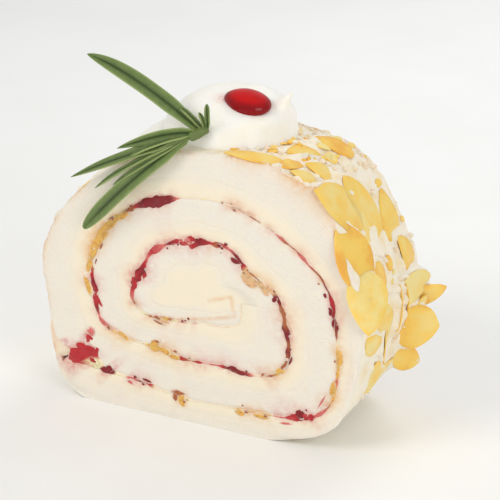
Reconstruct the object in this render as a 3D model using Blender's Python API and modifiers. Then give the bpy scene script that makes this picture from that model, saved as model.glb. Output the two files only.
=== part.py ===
"""A cut slice of meringue roulade, about 88 mm wide, 70 mm tall and 35 mm deep.

The roll is one meringue sheet wound round whipped cream and red jam, with flaked
almonds baked on its outside. On top sit a piped cream rosette, a drop of red jelly
and the tip of a rosemary sprig. The slice stands on the roll's flat base.

Frame: metres, +Z up, +Y along the roll's axis. The origin is the middle of the flat
base, and the front cut face looks along -Y.
"""

import math
import random

import bmesh
import bpy
from mathutils import Matrix, Vector, noise

MM = 0.001
TURN = 2 * math.pi

# The roll's section: a superellipse round a centre, flattened where it stands
SLICE_DEPTH = 35 * MM
HALF_WIDTH = 43.3 * MM
CENTRE_HEIGHT = 35 * MM
RISE = 35.2 * MM  # from the centre to the top
SAG = 0.7 * MM  # how far the soft roll would hang below its base, were it not flattened there
SAG_REACH = 1.5 * MM

# Its exponent: at the outside, and deep inside. Corners add to it: outside, inside, direction
ROUND_EXPONENT = (1.69, 1.92)
CORNERS = (
    (1.5, 4.0, math.radians(317)),  # lower right
    (5.5, 0.4, math.radians(243)),  # lower left, over the tail
    (1.75, 0.0, math.radians(73)),  # the shoulder right of the top
)
CORNER_FOCUS = 5
SKIN_REACH = 3.5 * MM  # how deep the outside's shape is felt
CORE_FLATNESS = 0.3  # least height to width of a line in the core
CORE_EASE = 3 * MM

# The spiral, as the winding angle from the tail's tip at the lower left
TAIL_ANGLE = math.radians(203)
JAM_START = math.radians(5)
JAM_END = math.radians(875)
SHEET_END = math.radians(1235)
TUCK_START, TUCK_END = math.radians(352), math.radians(370)  # where the sheet goes under its tail
FINE_STATION, COARSE_STATION = math.radians(5), math.radians(10)
FINE_UNTIL = math.radians(510)
MERINGUE_SHARE = 0.66  # of a band, the rest being cream
INNER_TIP_THICKNESS = 3.0 * MM
TAIL_ROUNDING, INNER_ROUNDING, JAM_ROUNDING = math.radians(5), math.radians(16), math.radians(6)
GAP = 0.3 * MM

# The jam line's depth below the outside: an even spiral, and where it strays from it.
# Each stray: winding angle in degrees, mm inwards, spread in degrees
FIRST_INSET, WIND_PITCH = 3.9 * MM, 10.9 * MM
STRAYS = (
    (0, -2.4, 14),
    (36, 2.4, 18),
    (140, -1.9, 24),
    (195, 0.9, 20),
    (345, 0.8, 14),
    (362, -2.6, 14),
    (398, 1.7, 18),
    (468, -1.5, 20),
    (541, 4.3, 20),
    (684, 2.2, 18),
    (692, 0.8, 14),
    (722, -2.4, 16),
    (828, -0.8, 20),
    (868, 1.2, 14),
)

# Where the jam lies thicker than its least, mostly inwards: winding angle in degrees, extra mm, spread in degrees
JAM_LEAST = 0.6 * MM
LUMP_INWARDS = 0.7
JAM_LUMPS = (
    (13, 4.2, 5),
    (23, 1.0, 4),
    (113, 1.6, 4),
    (138, 0.5, 12),
    (160, 0.6, 10),
    (274, 2.0, 12),
    (314, 1.9, 17),
    (350, 1.2, 9),
    (393, 0.8, 10),
    (454, 0.6, 11),
    (506, 1.1, 20),
    (537, 1.3, 12),
    (562, 0.5, 10),
    (585, 0.7, 9),
    (612, 2.0, 15),
    (655, 1.3, 12),
    (692, 2.4, 12),
    (738, 1.2, 12),
)

# The rounded and uneven outside
RINGS = (-0.44, -0.16, 0.14, 0.44)  # of the slice's depth
EDGE_ROUNDING = 0.9 * MM
BACK_FALL = 2.8 * MM  # by how much the upper right falls away towards the back face
BACK_FALL_DIRECTION = math.radians(58)
BACK_FALL_SPREAD = math.radians(19)
SURFACE_BUMP = 0.7 * MM
BUMP_SCALE = 14 * MM
FLAT_BAND = 2.5 * MM  # above the base, where the surface keeps its place

# Flaked almonds
FLAKE_SIDES = 9
FLAKE_THICKNESS = 1.0 * MM
FLAKE_SINK = 0.35 * MM
FLAKES_LIE_BELOW = math.radians(10)  # flakes standing up more than this are raised from their foot
# The large ones: direction round the roll in degrees, place along it, length, width,
# spin, stand and roll in degrees, and how far it lies above the surface
LARGE_FLAKES = (
    (37, -11.5, 19.0, 13.0, 48, 3, 0, 0.6),
    (31, -2.0, 20.0, 14.0, 12, 3, 0, 0.2),
    (22, -14.5, 17.0, 12.5, 8, 3, -22, 0.4),
    (7, -16.5, 15.0, 12.0, 150, 3, 34, 1.0),
    (11.5, -7.0, 10.0, 7.0, 60, 8, 0, 0.5),
    (23.5, 9.0, 14.0, 10.0, -15, 4, 0, 0.2),
    (9.5, 10.5, 11.5, 8.5, 20, 5, 0, 0.4),
    (53, 6.5, 10.5, 7.0, 15, 5, 0, 0.4),
    (68, -15.0, 15.0, 6.5, 10, 3, 0, 0.2),
    (57, -12.5, 9.0, 5.0, 80, 8, 0, 0.5),
    (58, -4.0, 10.0, 6.5, 65, 6, 0, 0.3),
    (48.5, -7.5, 9.0, 6.5, 30, 6, 0, 0.3),
    (50, -14.0, 8.0, 5.5, 20, 6, 0, 0.2),
    (-1, 10.5, 12.0, 9.5, -80, 16, 0, 0.7),
    (-6, -6.0, 14.0, 10.0, 20, 5, -10, 0.3),
    (-11, -12.0, 12.0, 8.0, 40, 5, -15, 0.2),
    (-16, -2.0, 12.0, 8.0, 30, 5, 20, 0.3),
    (-24, -7.0, 12.0, 7.0, 15, 5, -15, 0.2),
    (-27, 3.0, 12.0, 8.0, 60, 5, -10, 0.2),
    (-4, 1.5, 13.0, 8.0, 5, 5, 38, 0.6),
    (-6, 4.5, 13.0, 7.5, -5, 5, 42, 0.6),
    (-6, 15.5, 10.0, 8.0, -65, 50, 0, 0.5),
    (-15, 11.5, 11.5, 13.0, -95, 45, 0, 0.5),
    (-27, 12.0, 8.5, 7.5, -110, 44, 0, 0.5),
)
FLAKE_SEED = 11
FLAKE_FIRST, FLAKE_LAST = math.radians(76), math.radians(203)
FLAKE_ROWS, FLAKE_COLUMNS = 9, 4
FLAKE_LENGTH, FLAKE_WIDTH = 14.0 * MM, 9.6 * MM
FLAKE_LIFT = 0.2 * MM
FLAKE_TILT = 3  # degrees, either way
FLAKE_OVERHANG = -2.2 * MM  # past the cut faces

# The piped rosette: a squat dome with a swirl, a hollow under the drop and a lip behind it
ROSETTE_CENTRE = Vector((-0.1, 1.6, 68.5)) * MM
ROSETTE_RADII = Vector((16.3, 16.0, 11.8)) * MM
ROSETTE_SEGMENTS, ROSETTE_RINGS = 36, 22
SWIRL_TURNS, SWIRL_DEPTH = 1.6, 0.6 * MM
FLUTES, FLUTE_DEPTH = 7, 0.12 * MM
LIP_PLACE, LIP_RISE, LIP_SPREAD = Vector((7.0, 3.6)) * MM, 1.2 * MM, 4.2 * MM
HOLLOW_PLACE, HOLLOW_DEPTH, HOLLOW_SPREAD = Vector((6.9, -3.9)) * MM, 1.0 * MM, 4.6 * MM
CURL_FOOT, CURL_TIP = Vector((12.4, 1.5, 76.0)) * MM, Vector((15.7, 1.0, 81.7)) * MM
# Its cream spreads down the roll to the left
SKIRT_CENTRE, SKIRT_RADII = Vector((-13.5, 1.0, 66.0)) * MM, Vector((15.0, 11.5, 5.6)) * MM
SKIRT_SLOPE = math.radians(27)

# The jelly drop
DROP_PLACE = Vector((6.9, -3.7, 79.0)) * MM
DROP_RADII = Vector((5.8, 4.4, 2.7)) * MM
DROP_TILT, DROP_LEAN = math.radians(11), math.radians(9)

# The rosemary: its stem, then each leaf's start along the stem, middle and tip in mm, width, roll in
# degrees, and from where along it it narrows to its tip
STEM_RIGHT, STEM_LEFT = Vector((1.6, -13.4, 74.9)) * MM, Vector((-1.4, -17.7, 73.4)) * MM
STEM_RADIUS = 1.2 * MM
LEAF_THICKNESS = 0.7 * MM
LEAF_STATIONS = 9
LEAF_FACING = Vector((0.3, -0.85, 0.42))
LEAVES = (
    (0.35, (-15.6, -15.3, 84.3), (-29.6, -14.2, 88.8), 4.0, 8, 0.45),
    (0.25, (-1.9, -15.7, 78.0), (-4.3, -15.9, 79.6), 1.4, 30, 0.6),
    (0.55, (-7.7, -18.5, 73.3), (-19.6, -19.0, 68.5), 3.0, -25, 0.4),
    (0.75, (-15.5, -19.6, 67.8), (-31.7, -20.4, 59.9), 2.9, 20, 0.4),
    (0.65, (-7.4, -19.2, 71.9), (-16.2, -20.0, 67.1), 2.0, 45, 0.5),
    (0.85, (-13.9, -20.3, 66.3), (-24.9, -20.8, 58.3), 1.6, 35, 0.5),
    (0.95, (-12.0, -20.3, 66.0), (-20.2, -20.3, 59.7), 1.4, 25, 0.5),
    (1.0, (-14.3, -20.3, 62.3), (-28.2, -21.0, 47.7), 3.9, 0, 0.74),
    (0.05, (2.3, -15.4, 78.4), (2.6, -16.0, 81.6), 1.3, 10, 0.7),
    (0.15, (1.2, -15.6, 77.4), (0.4, -15.9, 79.2), 1.1, 30, 0.6),
)


def smooth(value, low, high):
    """0 below low, 1 above high, and an S curve between them."""
    share = min(1.0, max(0.0, (value - low) / (high - low)))
    return share * share * (3 - 2 * share)


def section_radius(angle, inset):
    """How far the line `inset` inside the roll's outside lies from the centre, in this direction.

    Each line is a superellipse whose half axes are shorter by the inset, so the lines
    nest. Its exponent changes from the outside's to the inside's over the skin's reach.
    """
    across, up = math.cos(angle), math.sin(angle)
    outside = math.exp(-inset / SKIN_REACH)
    exponent = ROUND_EXPONENT[0] * outside + ROUND_EXPONENT[1] * (1 - outside)
    for added_outside, added_inside, direction in CORNERS:
        facing = max(0.0, math.cos(angle - direction)) ** CORNER_FOCUS
        exponent += facing * (added_outside * outside + added_inside * (1 - outside))
    half_width = HALF_WIDTH - inset
    half_height = CENTRE_HEIGHT + SAG * math.exp(-inset / SAG_REACH) - inset if up < 0 else RISE - inset
    flattest = CORE_FLATNESS * half_width
    half_height = (half_height + flattest + math.hypot(half_height - flattest, CORE_EASE)) / 2
    radius = ((abs(across) / half_width) ** exponent + (abs(up) / half_height) ** exponent) ** (-1 / exponent)
    if up < 0:
        radius = min(radius, CENTRE_HEIGHT / -up)
    return radius


def section_point(wind, inset):
    """The point (x, z) of the section at this winding angle and inset."""
    angle = TAIL_ANGLE + wind
    radius = section_radius(angle, max(0.0, inset))
    return Vector((radius * math.cos(angle), CENTRE_HEIGHT + radius * math.sin(angle)))


def swells(wind, table):
    """The sum of the table's swellings at this winding angle, each a bell round its own angle."""
    degrees = math.degrees(wind)
    return MM * sum(amount * math.exp(-(((degrees - at) / spread) ** 2)) for at, amount, spread in table)


def jam_inset(wind):
    """The inset of the jam line."""
    return FIRST_INSET + WIND_PITCH * wind / TURN + swells(wind, STRAYS)


def jam_faces(wind):
    """The insets of the jam's outer and inner face, with its lumps."""
    lump = swells(wind, JAM_LUMPS)
    middle = jam_inset(wind)
    outer = middle - JAM_LEAST / 2 - (1 - LUMP_INWARDS) * lump
    return outer, middle + JAM_LEAST / 2 + LUMP_INWARDS * lump


def sheet_outer_inset(wind):
    """The sheet's outer face: the roll's outside for a turn, then just inside the jam of the turn before."""
    if wind <= TUCK_START:
        return 0.0
    under = jam_faces(max(0.0, wind - TURN))[1] + GAP
    return under * smooth(wind, TUCK_START, TUCK_END)


def sheet_inner_inset(wind):
    """The sheet's inner face: a share of the band as far as the jam goes, then tapering to the inner tip."""
    reach = min(wind, JAM_END)
    band = jam_faces(reach)[0] - 2 * GAP - sheet_outer_inset(reach)
    thickness = max(MERINGUE_SHARE * band, 1.0 * MM)
    if wind > JAM_END:
        left = (SHEET_END - wind) / (SHEET_END - JAM_END)
        thickness = INNER_TIP_THICKNESS + (thickness - INNER_TIP_THICKNESS) * left
    return sheet_outer_inset(wind) + thickness


def stations(first, last):
    """Winding angles from first to last, both included: on a fine grid outside and a coarse one in the core."""
    grid = []
    wind = 0.0
    while wind < last - 1e-6:
        if wind > first + 1e-6:
            grid.append(wind)
        wind += FINE_STATION if wind < FINE_UNTIL - 1e-6 else COARSE_STATION
    return [first] + grid + [last]


def ribbon_outline(winds, outer, inner, first_rounding, last_rounding):
    """A closed outline: out along one line and back along the other, drawn together at both ends."""
    there, back = [], []
    for wind in winds:
        near_end = min((wind - winds[0]) / first_rounding, (winds[-1] - wind) / last_rounding, 1.0)
        open_share = math.sqrt(1 - (1 - near_end) ** 2)
        middle = (outer(wind) + inner(wind)) / 2
        half = (inner(wind) - outer(wind)) / 2 * max(0.2, open_share)
        there.append(section_point(wind, middle - half))
        back.append(section_point(wind, middle + half))
    return there + back[::-1]


def sheet_outline():
    """The meringue sheet: nearly three and a half turns, from the tail's tip to the tip inside the core."""
    winds = stations(0.0, SHEET_END)
    winds[1:1] = [TAIL_ROUNDING * 0.15, TAIL_ROUNDING * 0.5]
    return ribbon_outline(winds, sheet_outer_inset, sheet_inner_inset, TAIL_ROUNDING, INNER_ROUNDING)


def jam_outline():
    """The jam: a thin ribbon between one turn's cream and the next turn's sheet."""
    return ribbon_outline(
        stations(JAM_START, JAM_END),
        lambda wind: jam_faces(wind)[0],
        lambda wind: jam_faces(wind)[1],
        JAM_ROUNDING,
        JAM_ROUNDING,
    )


def cream_outline():
    """The cream: in against the sheet as far as its inner tip, round that tip, and out along the jam."""
    start = JAM_START + 2 * FINE_STATION
    inwards = [section_point(wind, sheet_inner_inset(wind) + GAP) for wind in stations(start, SHEET_END)]
    beyond = SHEET_END + COARSE_STATION / 2
    tip = [
        section_point(beyond, sheet_inner_inset(SHEET_END)),
        section_point(beyond, sheet_outer_inset(SHEET_END)),
    ]
    outwards = [
        section_point(wind, jam_faces(wind)[0] - GAP)
        for wind in reversed(stations(start, JAM_END + COARSE_STATION / 2))
    ]
    return inwards + tip + outwards


def as_mesh(obj, collection):
    """Replaces the object by the mesh it evaluates to, with its modifiers applied and its place in the mesh."""
    bpy.context.view_layer.update()
    graph = bpy.context.evaluated_depsgraph_get()
    mesh = bpy.data.meshes.new_from_object(obj.evaluated_get(graph))
    mesh.transform(obj.matrix_world)
    name = obj.name
    bpy.data.objects.remove(obj)
    work = bmesh.new()
    work.from_mesh(mesh)
    bmesh.ops.remove_doubles(work, verts=work.verts, dist=0.001 * MM)
    bmesh.ops.recalc_face_normals(work, faces=work.faces)
    work.to_mesh(mesh)
    work.free()
    made = bpy.data.objects.new(name, mesh)
    mesh.name = name
    collection.objects.link(made)
    return made


def finish(work, name, collection):
    """Puts the worked mesh into a new object."""
    mesh = bpy.data.meshes.new(name)
    work.to_mesh(mesh)
    work.free()
    obj = bpy.data.objects.new(name, mesh)
    collection.objects.link(obj)
    return obj


def smooth_shaded(obj):
    """Shades the object's faces smooth."""
    obj.data.polygons.foreach_set("use_smooth", [True] * len(obj.data.polygons))


def prism(name, outline, depth, collection):
    """A flat outline in the XZ plane, extruded evenly to both sides along Y."""
    curve = bpy.data.curves.new(name, "CURVE")
    curve.dimensions = "2D"
    curve.fill_mode = "BOTH"
    curve.extrude = depth / 2
    spline = curve.splines.new("POLY")
    spline.points.add(len(outline) - 1)
    for point, place in zip(spline.points, outline):
        point.co = (place.x, place.y, 0, 1)
    spline.use_cyclic_u = True
    obj = bpy.data.objects.new(name, curve)
    obj.rotation_euler = (math.pi / 2, 0, 0)
    collection.objects.link(obj)
    return as_mesh(obj, collection)


def rod(name, first, last, radius, collection):
    """A round rod between two points, with closed ends."""
    curve = bpy.data.curves.new(name, "CURVE")
    curve.dimensions = "3D"
    curve.bevel_depth = radius
    curve.bevel_resolution = 2
    curve.use_fill_caps = True
    spline = curve.splines.new("POLY")
    spline.points.add(1)
    spline.points[0].co = (*first, 1)
    spline.points[1].co = (*last, 1)
    obj = bpy.data.objects.new(name, curve)
    collection.objects.link(obj)
    return as_mesh(obj, collection)


def principled(name, colour, roughness, subsurface=0.0, coat=0.0):
    """A plain material of this colour."""
    material = bpy.data.materials.new(name)
    material.use_nodes = True
    shader = material.node_tree.nodes["Principled BSDF"]
    shader.inputs["Base Color"].default_value = (*colour, 1)
    shader.inputs["Roughness"].default_value = roughness
    shader.inputs["Metallic"].default_value = 0
    shader.inputs["Subsurface Weight"].default_value = subsurface
    shader.inputs["Coat Weight"].default_value = coat
    material.diffuse_color = (*colour, 1)
    return material


def boolean(obj, operation, solver="EXACT", cutter=None, cutters=None):
    """Adds a Boolean modifier for one object or a collection of them."""
    modifier = obj.modifiers.new(operation.lower(), "BOOLEAN")
    modifier.operation = operation
    modifier.solver = solver
    if cutters:
        modifier.operand_type = "COLLECTION"
        modifier.collection = cutters
    else:
        modifier.object = cutter


def clear(collection):
    """Removes a collection and its objects."""
    for obj in list(collection.objects):
        bpy.data.objects.remove(obj)
    bpy.data.collections.remove(collection)


def drop_loose_scrap(obj):
    """Keeps the largest of the mesh's separate bodies."""
    work = bmesh.new()
    work.from_mesh(obj.data)
    left = set(work.verts)
    bodies = []
    while left:
        body, search = [], [left.pop()]
        while search:
            vertex = search.pop()
            body.append(vertex)
            neighbours = {edge.other_vert(vertex) for edge in vertex.link_edges} & left
            left -= neighbours
            search.extend(neighbours)
        bodies.append(body)
    bodies.sort(key=len)
    scrap = [vertex for body in bodies[:-1] for vertex in body]
    bmesh.ops.delete(work, geom=scrap, context="VERTS")
    work.to_mesh(obj.data)
    work.free()


def surface_bump(place):
    """How far the roll's outside stands proud of its plain section here; the base stays flat."""
    rise = smooth(place.z, FLAT_BAND, 4 * FLAT_BAND)
    near_cut = smooth(abs(place.y), 0.4 * SLICE_DEPTH, 0.5 * SLICE_DEPTH)
    bump = SURFACE_BUMP * (1 - near_cut) * noise.noise(place / BUMP_SCALE)
    beside = (math.atan2(place.z - CENTRE_HEIGHT, place.x) - BACK_FALL_DIRECTION) / BACK_FALL_SPREAD
    fall = BACK_FALL * math.exp(-(beside**2)) * smooth(place.y, 0.1 * SLICE_DEPTH, 0.5 * SLICE_DEPTH)
    return rise * (bump - EDGE_ROUNDING * near_cut - fall)


def roughen_outside(obj):
    """Rounds the outside's two cut edges and makes it uneven, leaving the base flat."""

    def outside(vertex):
        spoke = Vector((vertex.co.x, vertex.co.z - CENTRE_HEIGHT))
        return spoke.length > section_radius(math.atan2(spoke.y, spoke.x), 0.0) - 0.02 * MM

    work = bmesh.new()
    work.from_mesh(obj.data)
    for share in RINGS:
        skin = [face for face in work.faces if all(outside(vertex) for vertex in face.verts)]
        skin = [face for face in skin if abs(face.normal.y) < 0.5]
        edges = {edge for face in skin for edge in face.edges}
        vertices = {vertex for face in skin for vertex in face.verts}
        bmesh.ops.bisect_plane(
            work,
            geom=[*vertices, *edges, *skin],
            dist=0.001 * MM,
            plane_co=(0, share * SLICE_DEPTH, 0),
            plane_no=(0, 1, 0),
        )
    for vertex in work.verts:
        if outside(vertex) and vertex.co.z > FLAT_BAND:
            spoke = Vector((vertex.co.x, 0, vertex.co.z - CENTRE_HEIGHT))
            vertex.co += spoke.normalized() * surface_bump(vertex.co)
    work.to_mesh(obj.data)
    work.free()


def almond_flake(length, width, bend, collection):
    """One slice of almond, lying flat: a thin blade, round at one end and pointed at the other."""
    work = bmesh.new()
    bmesh.ops.create_cone(
        work, cap_ends=True, cap_tris=True, segments=FLAKE_SIDES, radius1=1, radius2=0.9, depth=FLAKE_THICKNESS
    )
    for vertex in work.verts:
        radius = math.hypot(vertex.co.x, vertex.co.y)
        angle = math.atan2(vertex.co.y, vertex.co.x) % TURN
        taper = 1.05 * abs(math.sin(angle / 2)) ** 0.5
        vertex.co.x = length / 2 * radius * math.cos(angle)
        vertex.co.y = width / 2 * radius * math.sin(angle) * taper
        vertex.co.z += bend * (2 * vertex.co.x / length) ** 2
    return finish(work, "almond_flake", collection)


def lay_flake(obj, length, angle, depth, spin, stand, roll, lift):
    """Puts a flake on the roll's outside: turned on it by spin, then stood up from its foot by stand."""
    here = section_point(angle - TAIL_ANGLE, 0.0)
    ahead = section_point(angle - TAIL_ANGLE + 0.02, 0.0)
    tangent = (ahead - here).normalized()
    around = Vector((tangent.x, 0, tangent.y))
    out = Vector((tangent.y, 0, -tangent.x))
    on_surface = Matrix((around, out.cross(around), out)).transposed()
    turned = (
        on_surface @ Matrix.Rotation(spin, 3, "Z") @ Matrix.Rotation(-stand, 3, "Y") @ Matrix.Rotation(roll, 3, "X")
    )
    place = Vector((here.x, depth, here.y))
    foot_to_middle = 0.42 * length * math.sin(max(0.0, stand - FLAKES_LIE_BELOW))
    place += out * (surface_bump(place) + lift + FLAKE_THICKNESS / 2 - FLAKE_SINK + foot_to_middle)
    obj.matrix_world = Matrix.Translation(place) @ turned.to_4x4()


def scatter_flakes(collection):
    """The almonds: the large ones in their places, then smaller ones by a seeded rule on a shaken grid."""
    draw = random.Random(FLAKE_SEED)
    for direction, along, length, width, spin, stand, roll, lift in LARGE_FLAKES:
        flake = almond_flake(length * MM, width * MM, draw.uniform(-0.9, -0.2) * MM, collection)
        turned = math.radians(spin), math.radians(stand), math.radians(roll)
        lay_flake(flake, length * MM, math.radians(direction), along * MM, *turned, lift * MM)
    for row in range(FLAKE_ROWS):
        for column in range(FLAKE_COLUMNS):
            angle = FLAKE_FIRST + (FLAKE_LAST - FLAKE_FIRST) * (row + draw.uniform(0.1, 0.9)) / FLAKE_ROWS
            depth = ((column + 0.5 + draw.uniform(-0.4, 0.4)) / FLAKE_COLUMNS - 0.5) * SLICE_DEPTH
            size = draw.uniform(0.72, 1.08)
            spin = draw.uniform(0, TURN)
            stand = math.radians(draw.uniform(-FLAKE_TILT, FLAKE_TILT))
            roll = math.radians(draw.uniform(-FLAKE_TILT, FLAKE_TILT))
            bend = draw.uniform(-0.9, -0.4) * MM
            lift = draw.uniform(0.0, 1.0) * FLAKE_LIFT
            length, width = FLAKE_LENGTH * size, FLAKE_WIDTH * size
            reach = math.hypot(width * math.cos(spin), length * math.sin(spin)) / 2
            room = SLICE_DEPTH / 2 + FLAKE_OVERHANG - reach
            depth = max(-room, min(room, depth))
            place = section_point(angle - TAIL_ANGLE, 0.0)
            on_top = place.y > CENTRE_HEIGHT + 0.6 * RISE
            from_rosette = (Vector((place.x, depth)) - ROSETTE_CENTRE.xy).length - ROSETTE_RADII.x
            from_skirt = (Vector((place.x, depth)) - SKIRT_CENTRE.xy).length - SKIRT_RADII.x
            if on_top and min(from_rosette, from_skirt) < 0.36 * length:
                continue
            flake = almond_flake(length, width, bend, collection)
            lay_flake(flake, length, angle, depth, spin, stand, roll, lift)


def make_meringue(parts, helpers):
    """The wound sheet with the almonds fused to its outside."""
    sheet = prism("meringue_sheet", sheet_outline(), SLICE_DEPTH, parts)
    roughen_outside(sheet)
    flakes = bpy.data.collections.new("almonds")
    helpers.children.link(flakes)
    scatter_flakes(flakes)
    boolean(sheet, "UNION", "MANIFOLD", cutters=flakes)
    sheet = as_mesh(sheet, parts)
    clear(flakes)
    drop_loose_scrap(sheet)
    sheet.data.materials.clear()
    sheet.data.materials.append(principled("baked_meringue", (0.90, 0.84, 0.70), 0.75, 0.1))


def swirl(place, radii, height):
    """How far the piped ridge stands out at this turn and height of the dome."""
    angle = math.atan2(place.y / radii.y, place.x / radii.x)
    phase = angle + TURN * SWIRL_TURNS * height
    fade = smooth(math.hypot(place.x / radii.x, place.y / radii.y), 0.05, 0.45)
    return fade * (SWIRL_DEPTH * math.cos(phase) + FLUTE_DEPTH * math.cos(FLUTES * phase))


def rosette_dome(collection):
    """The dome: a ball swollen to a superellipsoid, steeper on its right, with swirl, lip and hollow."""
    work = bmesh.new()
    bmesh.ops.create_uvsphere(work, u_segments=ROSETTE_SEGMENTS, v_segments=ROSETTE_RINGS, radius=1)
    for vertex in work.verts:
        x, y, z = vertex.co
        exponent = 2.45 + 0.45 * math.cos(math.atan2(y, x))
        around = max(1e-6, math.hypot(x, y))
        spread = around ** (2 / exponent) / around
        rise = math.copysign(abs(z) ** (2 / exponent), z)
        place = Vector((x * spread * ROSETTE_RADII.x, y * spread * ROSETTE_RADII.y, rise * ROSETTE_RADII.z))
        ridge = swirl(place, ROSETTE_RADII, rise)
        place += Vector((x, y, 0.6 * max(0.0, z))).normalized() * ridge
        if z > 0:
            over = Vector((place.x, place.y)) + ROSETTE_CENTRE.xy
            lip = LIP_RISE * math.exp(-(((over - LIP_PLACE).length / LIP_SPREAD) ** 2))
            hollow = HOLLOW_DEPTH * math.exp(-(((over - HOLLOW_PLACE).length / HOLLOW_SPREAD) ** 2))
            place.z += (lip - hollow) * smooth(z, 0.2, 0.7)
        vertex.co = ROSETTE_CENTRE + place
    return finish(work, "cream_rosette", collection)


def cream_skirt(collection):
    """The spread cream: a flattened ball, turned to the roll's slope."""
    work = bmesh.new()
    bmesh.ops.create_uvsphere(work, u_segments=24, v_segments=12, radius=1)
    for vertex in work.verts:
        vertex.co = Vector(vertex.co[i] * SKIRT_RADII[i] for i in range(3))
    work.transform(Matrix.Translation(SKIRT_CENTRE) @ Matrix.Rotation(-SKIRT_SLOPE, 4, "Y"))
    return finish(work, "skirt", collection)


def make_rosette(parts, helpers, cutters):
    """The piped cream: its dome and skirt, the curl where the nozzle left, and its cut-outs."""
    rosette = rosette_dome(parts)
    skirt = cream_skirt(helpers)
    towards = CURL_TIP - CURL_FOOT
    work = bmesh.new()
    bmesh.ops.create_cone(
        work, cap_ends=True, segments=9, radius1=2.4 * MM, radius2=0.5 * MM, depth=towards.length
    )
    work.transform(
        Matrix.Translation((CURL_FOOT + CURL_TIP) / 2) @ towards.to_track_quat("Z", "Y").to_matrix().to_4x4()
    )
    curl = finish(work, "curl", helpers)
    for added in (skirt, curl):
        boolean(rosette, "UNION", "MANIFOLD", cutter=added)
    for cutter in cutters:
        boolean(rosette, "DIFFERENCE", "MANIFOLD", cutter=cutter)
    rosette = as_mesh(rosette, parts)
    for added in (skirt, curl):
        bpy.data.objects.remove(added)
    smooth_shaded(rosette)
    rosette.data.materials.append(principled("whipped_cream", (0.93, 0.89, 0.78), 0.4, 0.3))


def drop_body(name, grow, collection):
    """The jelly drop, or a cutter that is larger all round."""
    work = bmesh.new()
    bmesh.ops.create_uvsphere(work, u_segments=18, v_segments=10, radius=1)
    for vertex in work.verts:
        vertex.co = Vector(vertex.co[i] * (DROP_RADII[i] + grow) for i in range(3))
    turned = Matrix.Rotation(DROP_TILT, 4, "X") @ Matrix.Rotation(DROP_LEAN, 4, "Y")
    work.transform(Matrix.Translation(DROP_PLACE) @ turned)
    obj = finish(work, name, collection)
    smooth_shaded(obj)
    return obj


def leaf_breadth(share, taper):
    """A needle leaf's breadth along it: narrow at its foot, then parallel, and drawn in to its tip from the taper."""
    foot = min(1.0, 0.5 + 2.2 * share)
    tip = max(0.0, 1 - max(0.0, (share - taper) / (1 - taper)) ** 2.2) ** (1.2 - 0.95 * taper)
    return max(0.14, foot * tip)


def rosemary_leaf(start, middle, tip, width, roll, taper, collection):
    """A needle leaf: a channelled blade along an arc, cut into the same triangles on both faces."""
    work = bmesh.new()
    bmesh.ops.create_grid(work, x_segments=LEAF_STATIONS, y_segments=2, size=1)
    bmesh.ops.triangulate(work, faces=work.faces)
    control = 2 * middle - (start + tip) / 2
    for vertex in work.verts:
        share, across = (vertex.co.x + 1) / 2, vertex.co.y
        place = (1 - share) ** 2 * start + 2 * share * (1 - share) * control + share**2 * tip
        ahead = ((1 - share) * (control - start) + share * (tip - control)).normalized()
        side = ahead.cross(LEAF_FACING).normalized()
        side.rotate(Matrix.Rotation(math.radians(roll), 3, ahead))
        face = side.cross(ahead)
        half = leaf_breadth(share, taper) * width / 2
        vertex.co = place + side * (across * half) + face * (0.3 * half * abs(across))
    obj = finish(work, "leaf", collection)
    shell = obj.modifiers.new("thickness", "SOLIDIFY")
    shell.thickness = LEAF_THICKNESS
    shell.offset = 0
    return as_mesh(obj, collection)


def make_sprig(parts, helpers):
    """The rosemary tip: its leaves joined to the short stem."""
    sprig = rod("rosemary_sprig", STEM_RIGHT, STEM_LEFT, STEM_RADIUS, parts)
    leaves = bpy.data.collections.new("leaves")
    helpers.children.link(leaves)
    for start, middle, tip, width, roll, taper in LEAVES:
        foot = STEM_RIGHT.lerp(STEM_LEFT, start)
        rosemary_leaf(foot, Vector(middle) * MM, Vector(tip) * MM, width * MM, roll, taper, leaves)
    boolean(sprig, "UNION", "MANIFOLD", cutters=leaves)
    sprig = as_mesh(sprig, parts)
    clear(leaves)
    sprig.data.materials.append(principled("rosemary_leaf", (0.10, 0.20, 0.05), 0.5))


def main():
    """Builds the slice from its base up."""
    for obj in list(bpy.data.objects):
        bpy.data.objects.remove(obj, do_unlink=True)
    parts = bpy.data.collections.new("meringue_roulade")
    helpers = bpy.data.collections.new("cutters")
    for collection in (parts, helpers):
        bpy.context.scene.collection.children.link(collection)
    helpers.hide_render = True

    make_meringue(parts, helpers)
    cream = prism("cream_filling", cream_outline(), SLICE_DEPTH, parts)
    cream.data.materials.append(principled("whipped_cream_filling", (0.92, 0.86, 0.68), 0.5, 0.3))
    jam = prism("jam_layer", jam_outline(), SLICE_DEPTH, parts)
    jam.data.materials.append(principled("red_jam", (0.45, 0.02, 0.03), 0.3))

    over_roll = [section_point(wind, 0.0) for wind in stations(0, TURN)[:-1]]
    centre = Vector((0, CENTRE_HEIGHT))
    over_roll = [point + (point - centre).normalized() * (GAP + SURFACE_BUMP / 2) for point in over_roll]
    roll_cutter = prism("roll_cutter", over_roll, 2 * SLICE_DEPTH, helpers)
    drop_cutter = drop_body("drop_cutter", GAP, helpers)
    beyond = (STEM_RIGHT - STEM_LEFT).normalized() * GAP
    stem_cutter = rod("stem_cutter", STEM_RIGHT + beyond, STEM_LEFT, STEM_RADIUS + GAP, helpers)
    for cutter in (roll_cutter, drop_cutter, stem_cutter):
        cutter.hide_render = True
        cutter.display_type = "WIRE"
    make_rosette(parts, helpers, (roll_cutter, drop_cutter, stem_cutter))
    drop = drop_body("jelly_drop", 0.0, parts)
    drop.data.materials.append(principled("red_jelly", (0.55, 0.01, 0.01), 0.08, coat=1.0))
    make_sprig(parts, helpers)


main()
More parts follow.
